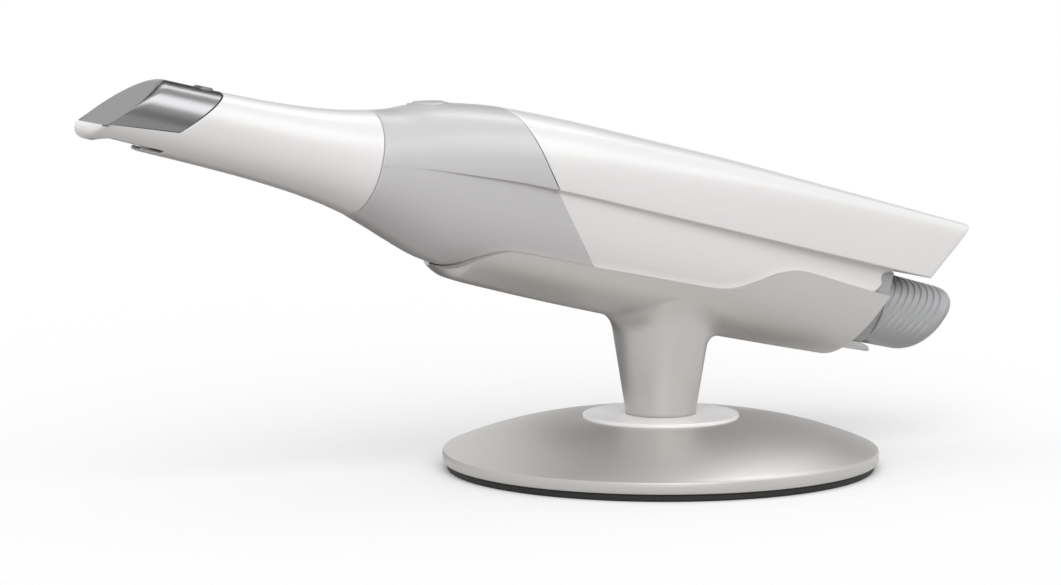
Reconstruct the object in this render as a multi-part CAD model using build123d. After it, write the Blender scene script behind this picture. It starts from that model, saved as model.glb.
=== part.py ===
from build123d import *

import math
import os

# Handheld intraoral scanner resting nose-up in its desktop cradle, in millimetres and degrees.
# The handpiece is drawn in its own frame: x runs from the nose to the tail, z is up, y = 0 is its
# mid-plane and the optical axis lies near z = 0. The stand is drawn in the frame of the whole object:
# the origin is the centre of the foot's underside, +Z is up and the nose points to -X.

# Pose of the handpiece on its stand
PITCH = 14.5
NOSE_REACH = 178.4
AXIS_HEIGHT = 110.0

# Shared walls and clearances
WALL = 2.0
PART_LINE = 0.15
SLIP = 0.3
BOND = 0.05

# Tip: a tapered sleeve with a flat mirror face at its front and a scan opening below it
NOSE_X = 5.5
FACE_X = 13.5
LIP_Z = -5.2
LIP_FALL = 1.0
COLLAR_X = 86.5
TIP_TOP = 10.1
TIP_BOTTOM = -9.2
TIP_HALF_WIDTH = 9.2
TIP_WALL = 1.8
OPENING_START = 10.6
OPENING_END = 25.3
OPENING_Z = -7.7
SLOT_START = 23.5
SLOT_END = 31.0
SLOT_HEIGHT = 0.9
CAP_WALL = 0.9
CAP_LENGTH = 18.4
CAP_SKIRT_RISE = 2.7
CAP_TAB_X = 37.5
CAP_TAB_RADIUS = 2.6
CAP_TAB_HEIGHT = 0.5
LINER_WALL = 0.6
LINER_END = 38.0
MIRROR_THICKNESS = 1.0
BUSHING_SETBACK = 2.5
BUSHING_LENGTH = 3.0

# Housing: grows from the round collar to the full body and runs out into the overhanging tail
COLLAR_TOP = 15.0
COLLAR_BOTTOM = -13.4
COLLAR_HALF_WIDTH = 14.2
COLLAR_LEDGE_Z = 0.9
HOUSING_LENGTH = 189.5
BACK_TOP = 24.9
BELLY_BOTTOM = -21.9
BODY_HALF_WIDTH = 21.0
LEDGE_Z = 5.4
LEDGE_DEPTH = 3.6
LEDGE_START = 0.1
COLLAR_POWER = 2.1
BACK_POWER = 2.9
BELLY_POWER = 2.3
FRONT_WALL = 2.5
SEAM_TOP_X = 123.5
SEAM_LEDGE_X = 137.0
SEAM_BELLY_X = 168.0
SHELL_LIP = 0.6
LOWER_END_X = 247.5
TONGUE_LENGTH = 11.0
TONGUE_HALF_WIDTH = 7.5
TONGUE_WALL = 0.85
TAIL_TOP_X = 274.0
TAIL_SLANT = 31.0

# Optics inside the housing, all on the optical axis
OPTIC_Z = 0.5
BARREL_START = 40.0
BARREL_FRONT_RADIUS = 7.4
BARREL_ROOT_RADIUS = 9.8
BARREL_ROOT_X = 80.0
BARREL_WALL = 1.2
FLANGE_RADIUS = 11.5
FLANGE_THICKNESS = 2.5
SEAL_RADIUS = 0.7
GLASS_THICKNESS = 1.0
TUBE_RADIUS = 9.5
TUBE_WALL = 1.5
TUBE_END_X = 130.0
FRONT_LENS_X = 99.0
RELAY_LENS_X = 116.0
LENS_EDGE = 2.2
LENS_BULGE = 1.1
BENCH_Z = -11.5
BENCH_THICKNESS = 2.0
BENCH_START_X = 96.0
BENCH_END_X = 196.0
BULKHEAD = 3.0
SPLITTER_BULKHEAD_X = 158.0
SENSOR_BULKHEAD_X = 178.0
LIGHT_BORE = 6.0
ROD_RADIUS = 1.0
ROD_SPREAD = 8.9
CARRIAGE_X = 143.0
CARRIAGE_LENGTH = 4.0
CARRIAGE_RADIUS = 11.0
FOCUS_TRAVEL = 3.0
FOCUS_LENS_RADIUS = 6.7
COIL_RADIUS = 7.6
COIL_WALL = 0.6
COIL_LENGTH = 5.0
MAGNET_BORE = 5.0
SPLITTER_SIZE = 13.0

# Boards and their parts
BOARD_THICKNESS = 1.2
BOARD_Z = 13.2
BOARD_START_X = 130.0
BOARD_END_X = 234.0
BOARD_HALF_WIDTH = 13.0
SCREW_RADIUS = 1.0
SCREW_HEAD_RADIUS = 1.9
SCREW_HEAD = 1.2
SCREW_DEPTH = 5.0
SCREW_SPREAD = 10.0
CHIP_SIZE = 14.0
CHIP_HEIGHT = 1.6
RADIO_LENGTH = 20.0
RADIO_WIDTH = 14.0
RADIO_HEIGHT = 2.4
RADIO_X = 208.0
SENSOR_SIZE = 10.0
SENSOR_HEIGHT = 1.5
LIGHT_SIZE = 5.0
LIGHT_HEIGHT = 1.0
SINK_FIN = 0.8
SINK_FINS = 6

# Scan button on the slope behind the collar
BUTTON_X = 104.0
BUTTON_TILT = 15.0
BUTTON_RADIUS = 4.4
BUTTON_PROUD = 0.8
BUTTON_STEM = 4.0
BUTTON_TRAVEL = 0.8
BEZEL_WIDTH = 1.1
BEZEL_PROUD = 0.35
WELL_WALL = 1.4
SWITCH_SIZE = 4.5
SWITCH_HEIGHT = 1.6
PLUNGER_RISE = 0.5

# Battery: an insert that slides into the bay and a ribbed grip that stays outside
BAY_FRONT_X = 200.0
BAY_WALL = 1.2
BAY_FLANGE_END = 252.0
BAY_FLANGE_SETBACK = 0.9
INSERT_START_X = 204.0
INSERT_HALF_WIDTH = 9.0
INSERT_TOP = 1.0
INSERT_BOTTOM = -12.0
INSERT_ROUND = 5.0
CASE_WALL = 1.3
GRIP_START_X = 252.4
GRIP_HALF_WIDTH = 13.8
GRIP_TAPER = 1.0
GRIP_TOP = 4.6
GRIP_BOTTOM = -16.2
GRIP_MIDDLE = -4.5
GRIP_END_X = 282.0
GRIP_SLANT = 25.0
GRIP_ROUND = 4.0
GRIP_CORNER = 6.0
RIB_COUNT = 11
RIB_PITCH = 2.3
RIB_GROOVE = 0.6
RIB_DEPTH = 0.7
CELL_END_X = 258.0
PIN_RADIUS = 0.8
PIN_SPREAD = 4.5
PAD_THICKNESS = 0.4

# Stand: cradle with its stem, on a weighted round base
CRADLE_WALL = 2.2
CRADLE_FRONT_X = 114.0
CRADLE_FRONT_Z = -13.4
CRADLE_RAMP = 16.0
CRADLE_STEP_X = 196.0
CRADLE_STEP_Z = -10.6
CRADLE_STEP_RUN = 25.0
CRADLE_REAR_Z = -0.7
CRADLE_REAR_FALL = 1.3
CRADLE_END_X = 250.3
CRADLE_END_SLANT = 7.5
STEM_FOOT_RADIUS = 9.4
STEM_TAPER = 9.3
STEM_TOP_Z = 54.0
STEM_FILLET = 4.0
BASE_RADIUS = 60.0
BASE_RIM = 3.4
BASE_TOP_Z = 14.1
BASE_CROWN = 1.7
BASE_SHOULDER = 2.5
WEIGHT_INSET = 10.0
WEIGHT_HEIGHT = 5.5
FOOT_THICKNESS = 2.0
FOOT_INSET = 1.2
RING_RADIUS = 21.5
RING_THICKNESS = 1.0
BOLT_RADIUS = 4.0
BOLT_HEAD_RADIUS = 6.5
BOLT_HEAD = 4.0
BOLT_REACH = 12.0
WASHER_RADIUS = 8.0
WASHER_THICKNESS = 1.5

# Cutting bodies reach this far past the object
REACH = 60.0

# Guide of the tip, from nose to collar: place along the tip, and growth towards the collar
TIP_GUIDE = ((0.0, 0.0), (0.33, 0.05), (0.57, 0.15), (0.76, 0.36), (0.9, 0.66), (1.0, 1.0))
TIP_STATIONS = 7

# Guide of the housing, from collar to tail: place along the housing, then how far the back, the belly,
# the width, the ledge's height, the ledge's depth and the squareness have grown
HOUSING_STATIONS = 15
HOUSING_GUIDE = (
    (0.000, 0.00, 0.00, 0.00, 0.00, 0.00, 0.0),
    (0.029, 0.14, 0.19, 0.18, 0.24, 0.03, 0.1),
    (0.071, 0.44, 0.47, 0.41, 0.47, 0.08, 0.2),
    (0.135, 0.73, 0.83, 0.69, 0.69, 0.18, 0.4),
    (0.219, 0.93, 0.98, 0.90, 0.91, 0.30, 0.6),
    (0.335, 0.99, 1.00, 1.00, 1.00, 0.45, 0.7),
    (0.520, 0.99, 0.94, 1.00, 1.00, 0.65, 0.8),
    (0.731, 0.90, 0.77, 0.88, 1.00, 0.85, 0.9),
    (1.000, 0.77, 0.45, 0.63, 1.00, 1.00, 1.0),
)

# Edge of the lower shell round the battery's mouth: how far it stands behind LOWER_END_X, and at which height
MOUTH_GUIDE = (
    (2.2, 5.6), (0.1, 3.4), (0.0, 2.3), (0.6, 1.1), (0.1, -0.3), (-1.0, -1.5), (-2.5, -5.0), (-2.9, -12.0),
    (-2.9, -24.0),
)

HANDPIECE = Location((-NOSE_REACH, 0, AXIS_HEIGHT), (0, PITCH, 0))
CROWN_STEPS = 8
FACE_LEAN = math.sqrt(2)


def between(start, end, share):
    """The value a given share of the way from start to end."""
    return start + (end - start) * share


def slopes(places, values):
    """Slope of a smooth guide at each of its points, flat where the guide turns back."""
    steps = [(v1 - v0) / (p1 - p0) for p0, p1, v0, v1 in zip(places, places[1:], values, values[1:])]
    inner = [2 * a * b / (a + b) if a * b > 0 else 0.0 for a, b in zip(steps, steps[1:])]
    return [steps[0]] + inner + [steps[-1]]


def follow(guide, place):
    """Values of a guide at a place along it, read off smooth curves through its points."""
    places = [row[0] for row in guide]
    index = max(i for i in range(len(places) - 1) if places[i] <= place or i == 0)
    run = places[index + 1] - places[index]
    t = (place - places[index]) / run
    result = []
    for column in range(1, len(guide[0])):
        values = [row[column] for row in guide]
        slope = slopes(places, values)
        start, end = values[index], values[index + 1]
        leave, arrive = slope[index] * run, slope[index + 1] * run
        bend = 3 * (end - start) - 2 * leave - arrive
        twist = 2 * (start - end) + leave + arrive
        result.append(start + t * (leave + t * (bend + t * twist)))
    return result


def crown(x, half_width, base_z, peak_z, power):
    """Rounded curve in the plane at x, from the +y foot over the peak to the -y foot."""
    points = []
    for step in range(CROWN_STEPS + 1):
        turn = math.pi * step / CROWN_STEPS
        across = math.copysign(abs(math.cos(turn)) ** (2 / power), math.cos(turn))
        up = max(math.sin(turn), 0) ** (2 / power)
        points.append((x, half_width * across, base_z + (peak_z - base_z) * up))
    rise = math.copysign(1, peak_z - base_z)
    return Spline(*points, tangents=[(0, 0, rise), (0, 0, -rise)])


def ring_section(x, half_width, middle_z, top, bottom, power):
    """Closed section of an upper and a lower crown that share their feet."""
    return Wire([
        crown(x, half_width, middle_z, top, power),
        crown(x, half_width, middle_z, bottom, power),
    ])


def prism(points, half_depth=REACH):
    """Side-view polygon of (x, z) points, carried through from side to side."""
    outline = Polyline(*[(x, 0, z) for x, z in points], close=True)
    return extrude(make_face(outline), half_depth, dir=(0, 1, 0), both=True)


def block(x_from, x_to, y_from, y_to, z_from, z_to):
    """Box given by its limits."""
    middle = Pos((x_from + x_to) / 2, (y_from + y_to) / 2, (z_from + z_to) / 2)
    return middle * Box(x_to - x_from, y_to - y_from, z_to - z_from)


def span(x_from, x_to):
    """Everything between two stations of the handpiece."""
    return block(x_from, x_to, -REACH, REACH, -REACH, REACH)


def rod(x_from, x_to, radius, y=0.0, z=OPTIC_Z):
    """Round bar along the handpiece."""
    return Pos((x_from + x_to) / 2, y, z) * Rot(0, 90, 0) * Cylinder(radius, x_to - x_from)


def turned(points):
    """Body turned about the optical axis from a profile of (x, radius) points."""
    outline = Polyline(*[(x, 0, OPTIC_Z + radius) for x, radius in points], close=True)
    return revolve(make_face(outline), Axis((0, 0, OPTIC_Z), (1, 0, 0)))


def lens(x, radius):
    """Double-convex lens on the optical axis, centred at x."""
    half = LENS_EDGE / 2
    front = ThreePointArc(
        (x - half, 0, OPTIC_Z - radius), (x - half - LENS_BULGE, 0, OPTIC_Z), (x - half, 0, OPTIC_Z + radius)
    )
    outline = Polyline(
        (x - half, 0, OPTIC_Z + radius),
        (x, 0, OPTIC_Z + radius),
        (x, 0, OPTIC_Z - radius),
        (x - half, 0, OPTIC_Z - radius),
    )
    half_profile = make_face([front, outline]) & block(-REACH, 5 * REACH, -1, 1, OPTIC_Z, REACH)
    front_half = revolve(half_profile, Axis((0, 0, OPTIC_Z), (1, 0, 0)))
    return front_half + mirror(front_half, Plane((x, 0, 0), x_dir=(0, 1, 0), z_dir=(1, 0, 0)))


# Forms that the tip and the housing are cut from


def tip_form(inset=0.0, rear_run=0.0):
    """Outer form of the tip, or the same form set in by a wall; rear_run carries it past the collar."""
    sections = []
    for station in range(TIP_STATIONS):
        place = station / (TIP_STATIONS - 1)
        growth, = follow(TIP_GUIDE, place)
        sections.append(ring_section(
            between(NOSE_X - LIP_FALL, COLLAR_X, place),
            between(TIP_HALF_WIDTH, COLLAR_HALF_WIDTH, growth) - inset,
            COLLAR_LEDGE_Z,
            between(TIP_TOP, COLLAR_TOP, growth) - inset,
            between(TIP_BOTTOM, COLLAR_BOTTOM, growth) + inset,
            COLLAR_POWER,
        ))
    sleeve = Solid.make_loft(sections)
    if rear_run:
        end = sleeve.faces().sort_by(Axis.X)[-1]
        sleeve = sleeve + extrude(end, rear_run, dir=(1, 0, 0))
    lip_z = LIP_Z - inset
    face_x = FACE_X + FACE_LEAN * inset
    ahead = prism([
        (face_x + lip_z, lip_z),
        (face_x + REACH, REACH),
        (-REACH, REACH),
        (-REACH, -REACH),
        (NOSE_X + inset, -REACH),
        (NOSE_X + inset, lip_z - LIP_FALL),
    ])
    return sleeve - ahead


def housing_sections(offset):
    """Sizes of each housing section, grown outwards by offset."""
    for station in range(HOUSING_STATIONS):
        place = station / (HOUSING_STATIONS - 1)
        back, belly, width, ledge, depth, square = follow(HOUSING_GUIDE, place)
        yield dict(
            x=between(COLLAR_X + PART_LINE, COLLAR_X + HOUSING_LENGTH, place),
            half_width=between(COLLAR_HALF_WIDTH, BODY_HALF_WIDTH, width) + offset,
            top=between(COLLAR_TOP, BACK_TOP, back) + offset,
            bottom=between(COLLAR_BOTTOM, BELLY_BOTTOM, belly) - offset,
            ledge_z=between(COLLAR_LEDGE_Z, LEDGE_Z, ledge) - min(offset, 0),
            ledge=between(LEDGE_START, LEDGE_DEPTH, depth),
            back_power=between(COLLAR_POWER, BACK_POWER, square),
            belly_power=between(COLLAR_POWER, BELLY_POWER, square),
        )


def housing_form(offset=0.0):
    """Whole housing: a crowned back that overhangs a narrower belly along a ledge."""
    sections = []
    for s in housing_sections(offset):
        belly_width = s["half_width"] - s["ledge"]
        corner = {
            side: Line((s["x"], side * s["half_width"], s["ledge_z"]), (s["x"], side * belly_width, s["ledge_z"]))
            for side in (1, -1)
        }
        sections.append(Wire([
            crown(s["x"], s["half_width"], s["ledge_z"], s["top"], s["back_power"]),
            corner[-1],
            crown(s["x"], belly_width, s["ledge_z"], s["bottom"], s["belly_power"]),
            corner[1],
        ]))
    return Solid.make_loft(sections)


def belly_form(offset):
    """The housing's belly below the ledge, grown outwards by offset."""
    sections = []
    for s in housing_sections(offset):
        belly_width = s["half_width"] - s["ledge"]
        foot = Line((s["x"], belly_width, s["ledge_z"]), (s["x"], -belly_width, s["ledge_z"]))
        sections.append(Wire([crown(s["x"], belly_width, s["ledge_z"], s["bottom"], s["belly_power"]), foot]))
    return Solid.make_loft(sections)


def behind_seam(gap):
    """Everything behind the slanted seam between the front shell and the rear shells."""
    seam = ThreePointArc(
        (SEAM_TOP_X + gap, 0, BACK_TOP + WALL), (SEAM_LEDGE_X + gap, 0, LEDGE_Z),
        (SEAM_BELLY_X + gap, 0, BELLY_BOTTOM - WALL),
    )
    far = COLLAR_X + HOUSING_LENGTH + REACH
    rest = Polyline(
        (SEAM_BELLY_X + gap, 0, BELLY_BOTTOM - WALL),
        (SEAM_BELLY_X + gap, 0, -REACH),
        (far, 0, -REACH),
        (far, 0, REACH),
        (SEAM_TOP_X + gap, 0, REACH),
        (SEAM_TOP_X + gap, 0, BACK_TOP + WALL),
    )
    return extrude(make_face([seam, rest]), REACH, dir=(0, 1, 0), both=True)


def behind_mouth(gap):
    """Everything behind the curved edge of the lower shell at the battery's mouth."""
    edge = [(LOWER_END_X + gap + x, 0, z) for x, z in MOUTH_GUIDE]
    far = COLLAR_X + HOUSING_LENGTH + REACH
    rest = Polyline(
        edge[-1], (edge[-1][0], 0, -REACH), (far, 0, -REACH), (far, 0, REACH), (edge[0][0], 0, REACH), edge[0]
    )
    return extrude(make_face([Spline(*edge), rest]), REACH, dir=(0, 1, 0), both=True)


def behind_slant(top_x, top_z, slant):
    """Everything behind a plane that leans forwards towards its foot."""
    lean = math.tan(math.radians(slant))
    return prism([
        (top_x + lean * (REACH - top_z), REACH),
        (top_x - lean * (REACH + top_z), -REACH),
        (top_x + 3 * REACH, -REACH),
        (top_x + 3 * REACH, REACH),
    ])


# Tip


def cap_zone(gap):
    """Side view of the metal cap: behind the mirror face, above its skirt, ahead of its slanted end."""
    rear_z = LIP_Z + CAP_SKIRT_RISE
    rear_x = FACE_X + CAP_LENGTH - gap
    return prism([
        (-REACH, LIP_Z + gap),
        (FACE_X + LIP_Z, LIP_Z + gap),
        (rear_x + rear_z, rear_z + gap),
        (rear_x + REACH, REACH),
        (-REACH, REACH),
    ])


def scan_opening():
    """Cut across the underside of the tip below the mirror, with a low slot that runs on behind it."""
    return prism([
        (OPENING_START, -REACH),
        (OPENING_START, OPENING_Z - SLIP),
        (OPENING_START + SLIP, OPENING_Z),
        (SLOT_END, OPENING_Z),
        (SLOT_END, OPENING_Z - SLOT_HEIGHT),
        (SLOT_START, OPENING_Z - SLOT_HEIGHT),
        (OPENING_END, OPENING_Z - TIP_WALL),
        (OPENING_END, -REACH),
    ])


def tip_pieces():
    """Sleeve, metal cap, inner liner, mirror and locating bushing of the removable tip."""
    outer = tip_form()
    inner = tip_form(TIP_WALL, rear_run=WALL)
    seat = tip_form(CAP_WALL + BOND)
    opening = scan_opening()
    sleeve = (outer - cap_zone(0)) + seat - inner - opening
    cap = (outer & cap_zone(PART_LINE)) - tip_form(CAP_WALL)
    tab_top = between(TIP_TOP, COLLAR_TOP, TIP_GUIDE[1][1]) + CAP_TAB_HEIGHT
    tab = Pos(CAP_TAB_X, 0, tab_top - CAP_WALL / 2) * Cylinder(CAP_TAB_RADIUS, CAP_WALL)
    cap = cap + fillet(tab.edges().group_by(Axis.Z)[-1], CAP_TAB_HEIGHT)

    liner_outside = TIP_WALL + BOND
    liner_inside = liner_outside + LINER_WALL
    liner = tip_form(liner_outside) - tip_form(liner_inside, rear_run=WALL) - opening
    liner = liner & span(0, LINER_END)

    front = FACE_X + FACE_LEAN * (liner_inside + BOND)
    back = front + FACE_LEAN * MIRROR_THICKNESS
    reach_down = OPENING_Z + TIP_WALL
    slab = prism([
        (front + reach_down, reach_down), (front + REACH, REACH),
        (back + REACH, REACH), (back + reach_down, reach_down),
    ])
    mirror_glass = slab & tip_form(liner_inside + BOND)

    bushing_end = COLLAR_X - BUSHING_SETBACK
    bushing_bore = rod(0, COLLAR_X, BARREL_ROOT_RADIUS + SLIP)
    bushing = (tip_form(TIP_WALL + BOND) & span(bushing_end - BUSHING_LENGTH, bushing_end)) - bushing_bore
    return {
        "tip_sleeve": sleeve,
        "mirror_cap": cap,
        "tip_liner": liner,
        "tip_mirror": mirror_glass,
        "tip_bushing": bushing,
    }


# Scan button


def button_place():
    """Frame of the button: its origin on the back's surface, its axis square to the slope there."""
    stations = [(s["x"], s["top"]) for s in housing_sections(0)]
    for (x_from, z_from), (x_to, z_to) in zip(stations, stations[1:]):
        if x_from <= BUTTON_X < x_to:
            surface = between(z_from, z_to, (BUTTON_X - x_from) / (x_to - x_from))
    return Location((BUTTON_X, 0, surface), (0, -BUTTON_TILT, 0))


def button_pieces():
    """Cap, bezel ring, switch and small board of the scan button."""
    place = button_place()
    bezel_radius = BUTTON_RADIUS + SLIP + BEZEL_WIDTH
    column = Pos(0, 0, -BUTTON_STEM / 2 + WALL) * Cylinder(BUTTON_RADIUS, BUTTON_STEM + 2 * WALL)
    cap = (place * column) & housing_form(BUTTON_PROUD)
    rim = cap.edges().sort_by(Axis.Z)[-1]
    cap = fillet(rim, BUTTON_PROUD / 2)
    sleeve = Cylinder(bezel_radius, 4 * WALL) - Cylinder(BUTTON_RADIUS + SLIP, 4 * WALL)
    bezel = (place * sleeve) & housing_form(BEZEL_PROUD)
    bezel = bezel - housing_form(-WALL)
    switch_top = -BUTTON_STEM - BUTTON_TRAVEL - PART_LINE - PLUNGER_RISE
    body = Pos(0, 0, switch_top - SWITCH_HEIGHT / 2) * Box(SWITCH_SIZE, SWITCH_SIZE, SWITCH_HEIGHT)
    plunger = Pos(0, 0, switch_top + PLUNGER_RISE / 2) * Cylinder(SWITCH_SIZE / 4, PLUNGER_RISE)
    board_top = switch_top - SWITCH_HEIGHT
    board = Pos(0, 0, board_top - BOARD_THICKNESS / 2) * Cylinder(bezel_radius + WELL_WALL, BOARD_THICKNESS)
    return {
        "button_cap": cap,
        "button_bezel": bezel,
        "button_switch": place * (body + plunger),
        "button_board": place * board,
    }


def button_well():
    """Tube below the back that carries the button's board, and the hole that the bezel fills."""
    place = button_place()
    bezel_radius = BUTTON_RADIUS + SLIP + BEZEL_WIDTH
    depth = BUTTON_STEM + BUTTON_TRAVEL + PART_LINE + PLUNGER_RISE + SWITCH_HEIGHT
    tube = Pos(0, 0, -depth / 2) * Cylinder(bezel_radius + WELL_WALL, depth)
    hole = Cylinder(bezel_radius + BOND, 2 * depth)
    return (place * tube) & housing_form(-WALL / 2), place * hole


# Shells of the handpiece


def shell_pieces():
    """Front shell ahead of the slanted seam, and the upper and lower shells behind it."""
    outer = housing_form()
    cavity = housing_form(-WALL)
    far = COLLAR_X + HOUSING_LENGTH + REACH
    well, hole = button_well()
    front_cavity = cavity & span(COLLAR_X + FRONT_WALL, far)
    front = outer - front_cavity - rod(COLLAR_X - WALL, COLLAR_X + 2 * FRONT_WALL, BARREL_ROOT_RADIUS + SLIP)
    front = front + well - hole - behind_seam(-PART_LINE / 2)

    rear = outer & behind_seam(PART_LINE / 2)
    parting_z = LEDGE_Z - SHELL_LIP
    below = block(0, far, -REACH, REACH, -REACH, parting_z)
    tail_underside = block(LOWER_END_X + MOUTH_GUIDE[0][0], far, -REACH, REACH, -REACH, LEDGE_Z)
    tail_wall = WALL / math.cos(math.radians(TAIL_SLANT))
    tail_room = cavity - behind_slant(TAIL_TOP_X - tail_wall, BACK_TOP, TAIL_SLANT)
    tail_floor = block(LOWER_END_X - WALL, far, -REACH, REACH, -REACH, LEDGE_Z + WALL)
    top = rear - below - tail_underside - (tail_room - tail_floor)
    top = top - behind_slant(TAIL_TOP_X, BACK_TOP, TAIL_SLANT)

    lower = (rear - cavity - behind_mouth(0)) & block(0, far, -REACH, REACH, -REACH, parting_z - PART_LINE)
    root_x = LOWER_END_X + MOUTH_GUIDE[-1][0] - WALL
    root = Rectangle(LOWER_END_X - root_x, 2 * TONGUE_HALF_WIDTH, align=(Align.MIN, Align.CENTER))
    tongue_plan = Pos(LOWER_END_X, 0) * Ellipse(TONGUE_LENGTH, TONGUE_HALF_WIDTH)
    tongue_plan = (tongue_plan & Pos(LOWER_END_X + REACH, 0) * Rectangle(2 * REACH, REACH)) + Pos(root_x, 0) * root
    tongue = (outer - housing_form(-TONGUE_WALL)) & extrude(tongue_plan, -REACH)
    return {"front_shell": front, "top_shell": top, "lower_shell": lower + tongue}


# Optics


def optic_pieces():
    """Barrel with its window and seal, lenses, focus actuator, beam splitter, light and sensor."""
    flange_x = COLLAR_X + FRONT_WALL + BOND
    tube_x = flange_x + FLANGE_THICKNESS
    barrel = turned([
        (BARREL_START, BARREL_FRONT_RADIUS - BARREL_WALL),
        (BARREL_START, BARREL_FRONT_RADIUS),
        (BARREL_ROOT_X, BARREL_ROOT_RADIUS),
        (flange_x, BARREL_ROOT_RADIUS),
        (flange_x, FLANGE_RADIUS),
        (tube_x, FLANGE_RADIUS),
        (tube_x, BARREL_ROOT_RADIUS - BARREL_WALL),
        (BARREL_ROOT_X, BARREL_ROOT_RADIUS - BARREL_WALL),
    ])
    window = rod(BARREL_START + BOND, BARREL_START + GLASS_THICKNESS, BARREL_FRONT_RADIUS - BARREL_WALL - BOND)
    seal = Pos(COLLAR_X - SEAL_RADIUS, 0, OPTIC_Z) * Rot(0, 90, 0) * Torus(
        BARREL_ROOT_RADIUS + SEAL_RADIUS + BOND, SEAL_RADIUS
    )
    tube_bore = TUBE_RADIUS - TUBE_WALL
    tube = rod(tube_x, TUBE_END_X, TUBE_RADIUS) - rod(tube_x, TUBE_END_X, tube_bore)

    carriage_end = CARRIAGE_X + CARRIAGE_LENGTH
    carriage = rod(CARRIAGE_X, carriage_end, CARRIAGE_RADIUS)
    carriage = carriage - rod(CARRIAGE_X, carriage_end, FOCUS_LENS_RADIUS + BOND)
    rods = []
    for side in (-1, 1):
        carriage = carriage - rod(CARRIAGE_X, carriage_end, ROD_RADIUS + SLIP, y=side * ROD_SPREAD)
        rods.append(rod(TUBE_END_X, SPLITTER_BULKHEAD_X + BULKHEAD, ROD_RADIUS, y=side * ROD_SPREAD))
    coil_bore = COIL_RADIUS - COIL_WALL
    coil = rod(carriage_end, carriage_end + COIL_LENGTH, COIL_RADIUS)
    coil = coil - rod(carriage_end, carriage_end + COIL_LENGTH, coil_bore)
    magnet_x = carriage_end + FOCUS_TRAVEL + 2 * SLIP
    magnet = rod(magnet_x, SPLITTER_BULKHEAD_X, coil_bore - SLIP)
    magnet = magnet - rod(magnet_x, SPLITTER_BULKHEAD_X, MAGNET_BORE)

    half = SPLITTER_SIZE / 2
    splitter_x = SPLITTER_BULKHEAD_X + BULKHEAD + BOND
    splitter = block(splitter_x, splitter_x + SPLITTER_SIZE, -half, half, OPTIC_Z - half, OPTIC_Z + half)
    middle_x = splitter_x + half
    light_z = OPTIC_Z + half + BOND
    light = block(
        middle_x - LIGHT_SIZE / 2, middle_x + LIGHT_SIZE / 2,
        -LIGHT_SIZE / 2, LIGHT_SIZE / 2, light_z, light_z + LIGHT_HEIGHT,
    )
    board_z = light_z + LIGHT_HEIGHT
    board_from = SPLITTER_BULKHEAD_X + BULKHEAD + BOND
    board_to = SENSOR_BULKHEAD_X - BOND
    led_board = block(board_from, board_to, -half, half, board_z, board_z + BOARD_THICKNESS)
    sink_z = board_z + BOARD_THICKNESS
    sink = block(board_from, board_to, -half, half, sink_z, sink_z + SINK_FIN)
    fin_pitch = (SPLITTER_SIZE - SINK_FIN) / (SINK_FINS - 1)
    for fin in range(SINK_FINS):
        y = -half + fin * fin_pitch
        sink = sink + block(board_from, board_to, y, y + SINK_FIN, sink_z, BOARD_Z - SLIP)

    sensor_board = block(
        SENSOR_BULKHEAD_X - BOND - BOARD_THICKNESS, SENSOR_BULKHEAD_X - BOND,
        -SENSOR_SIZE, SENSOR_SIZE, BENCH_Z + SLIP, board_z - SLIP,
    )
    sensor_x = SENSOR_BULKHEAD_X - BOND - BOARD_THICKNESS
    sensor = block(
        sensor_x - SENSOR_HEIGHT, sensor_x, -SENSOR_SIZE / 2, SENSOR_SIZE / 2,
        OPTIC_Z - SENSOR_SIZE / 2, OPTIC_Z + SENSOR_SIZE / 2,
    )
    return {
        "nose_barrel": barrel,
        "barrel_window": window,
        "barrel_seal": seal,
        "lens_tube": tube,
        "front_lens": lens(FRONT_LENS_X, tube_bore - BOND),
        "relay_lens": lens(RELAY_LENS_X, tube_bore - BOND),
        "guide_rods": Compound(children=rods),
        "focus_carriage": carriage,
        "focus_lens": lens(CARRIAGE_X + CARRIAGE_LENGTH / 2, FOCUS_LENS_RADIUS),
        "focus_coil": coil,
        "focus_magnet": magnet,
        "beam_splitter": splitter,
        "light_source": light,
        "led_board": led_board,
        "heat_sink": sink,
        "sensor_board": sensor_board,
        "image_sensor": sensor,
    }


def screw_places():
    """Places of the screws that hold the main board on the bulkheads."""
    for x in (SPLITTER_BULKHEAD_X, SENSOR_BULKHEAD_X):
        for side in (-1, 1):
            yield x + BULKHEAD / 2, side * SCREW_SPREAD


def chassis_piece():
    """Bench across the housing with upright bulkheads for the tube, the splitter and the sensor."""
    room = housing_form(-WALL - SLIP)
    uprights = (
        (TUBE_END_X - BULKHEAD, BOARD_Z - BULKHEAD, TUBE_RADIUS + BOND),
        (SPLITTER_BULKHEAD_X, BOARD_Z, LIGHT_BORE),
        (SENSOR_BULKHEAD_X, BOARD_Z, LIGHT_BORE),
    )
    bench = block(BENCH_START_X, BENCH_END_X, -REACH, REACH, BENCH_Z - BENCH_THICKNESS, BENCH_Z)
    half = SPLITTER_SIZE / 2
    pedestal_x = SPLITTER_BULKHEAD_X + BULKHEAD
    frame = bench + block(
        pedestal_x, pedestal_x + SPLITTER_SIZE, -half, half, BENCH_Z - BENCH_THICKNESS, OPTIC_Z - half - BOND
    )
    for x, top, bore in uprights:
        frame = frame + block(x, x + BULKHEAD, -REACH, REACH, BENCH_Z - BENCH_THICKNESS, top)
    frame = frame & room
    for x, top, bore in uprights:
        frame = frame - rod(x - BOND, x + BULKHEAD + BOND, bore)
    for side in (-1, 1):
        frame = frame - rod(SPLITTER_BULKHEAD_X, pedestal_x, ROD_RADIUS + BOND, y=side * ROD_SPREAD)
    for x, y in screw_places():
        frame = frame - Pos(x, y, BOARD_Z - SCREW_DEPTH / 2) * Cylinder(SCREW_RADIUS + BOND, SCREW_DEPTH)
    return {"chassis": frame}


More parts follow.
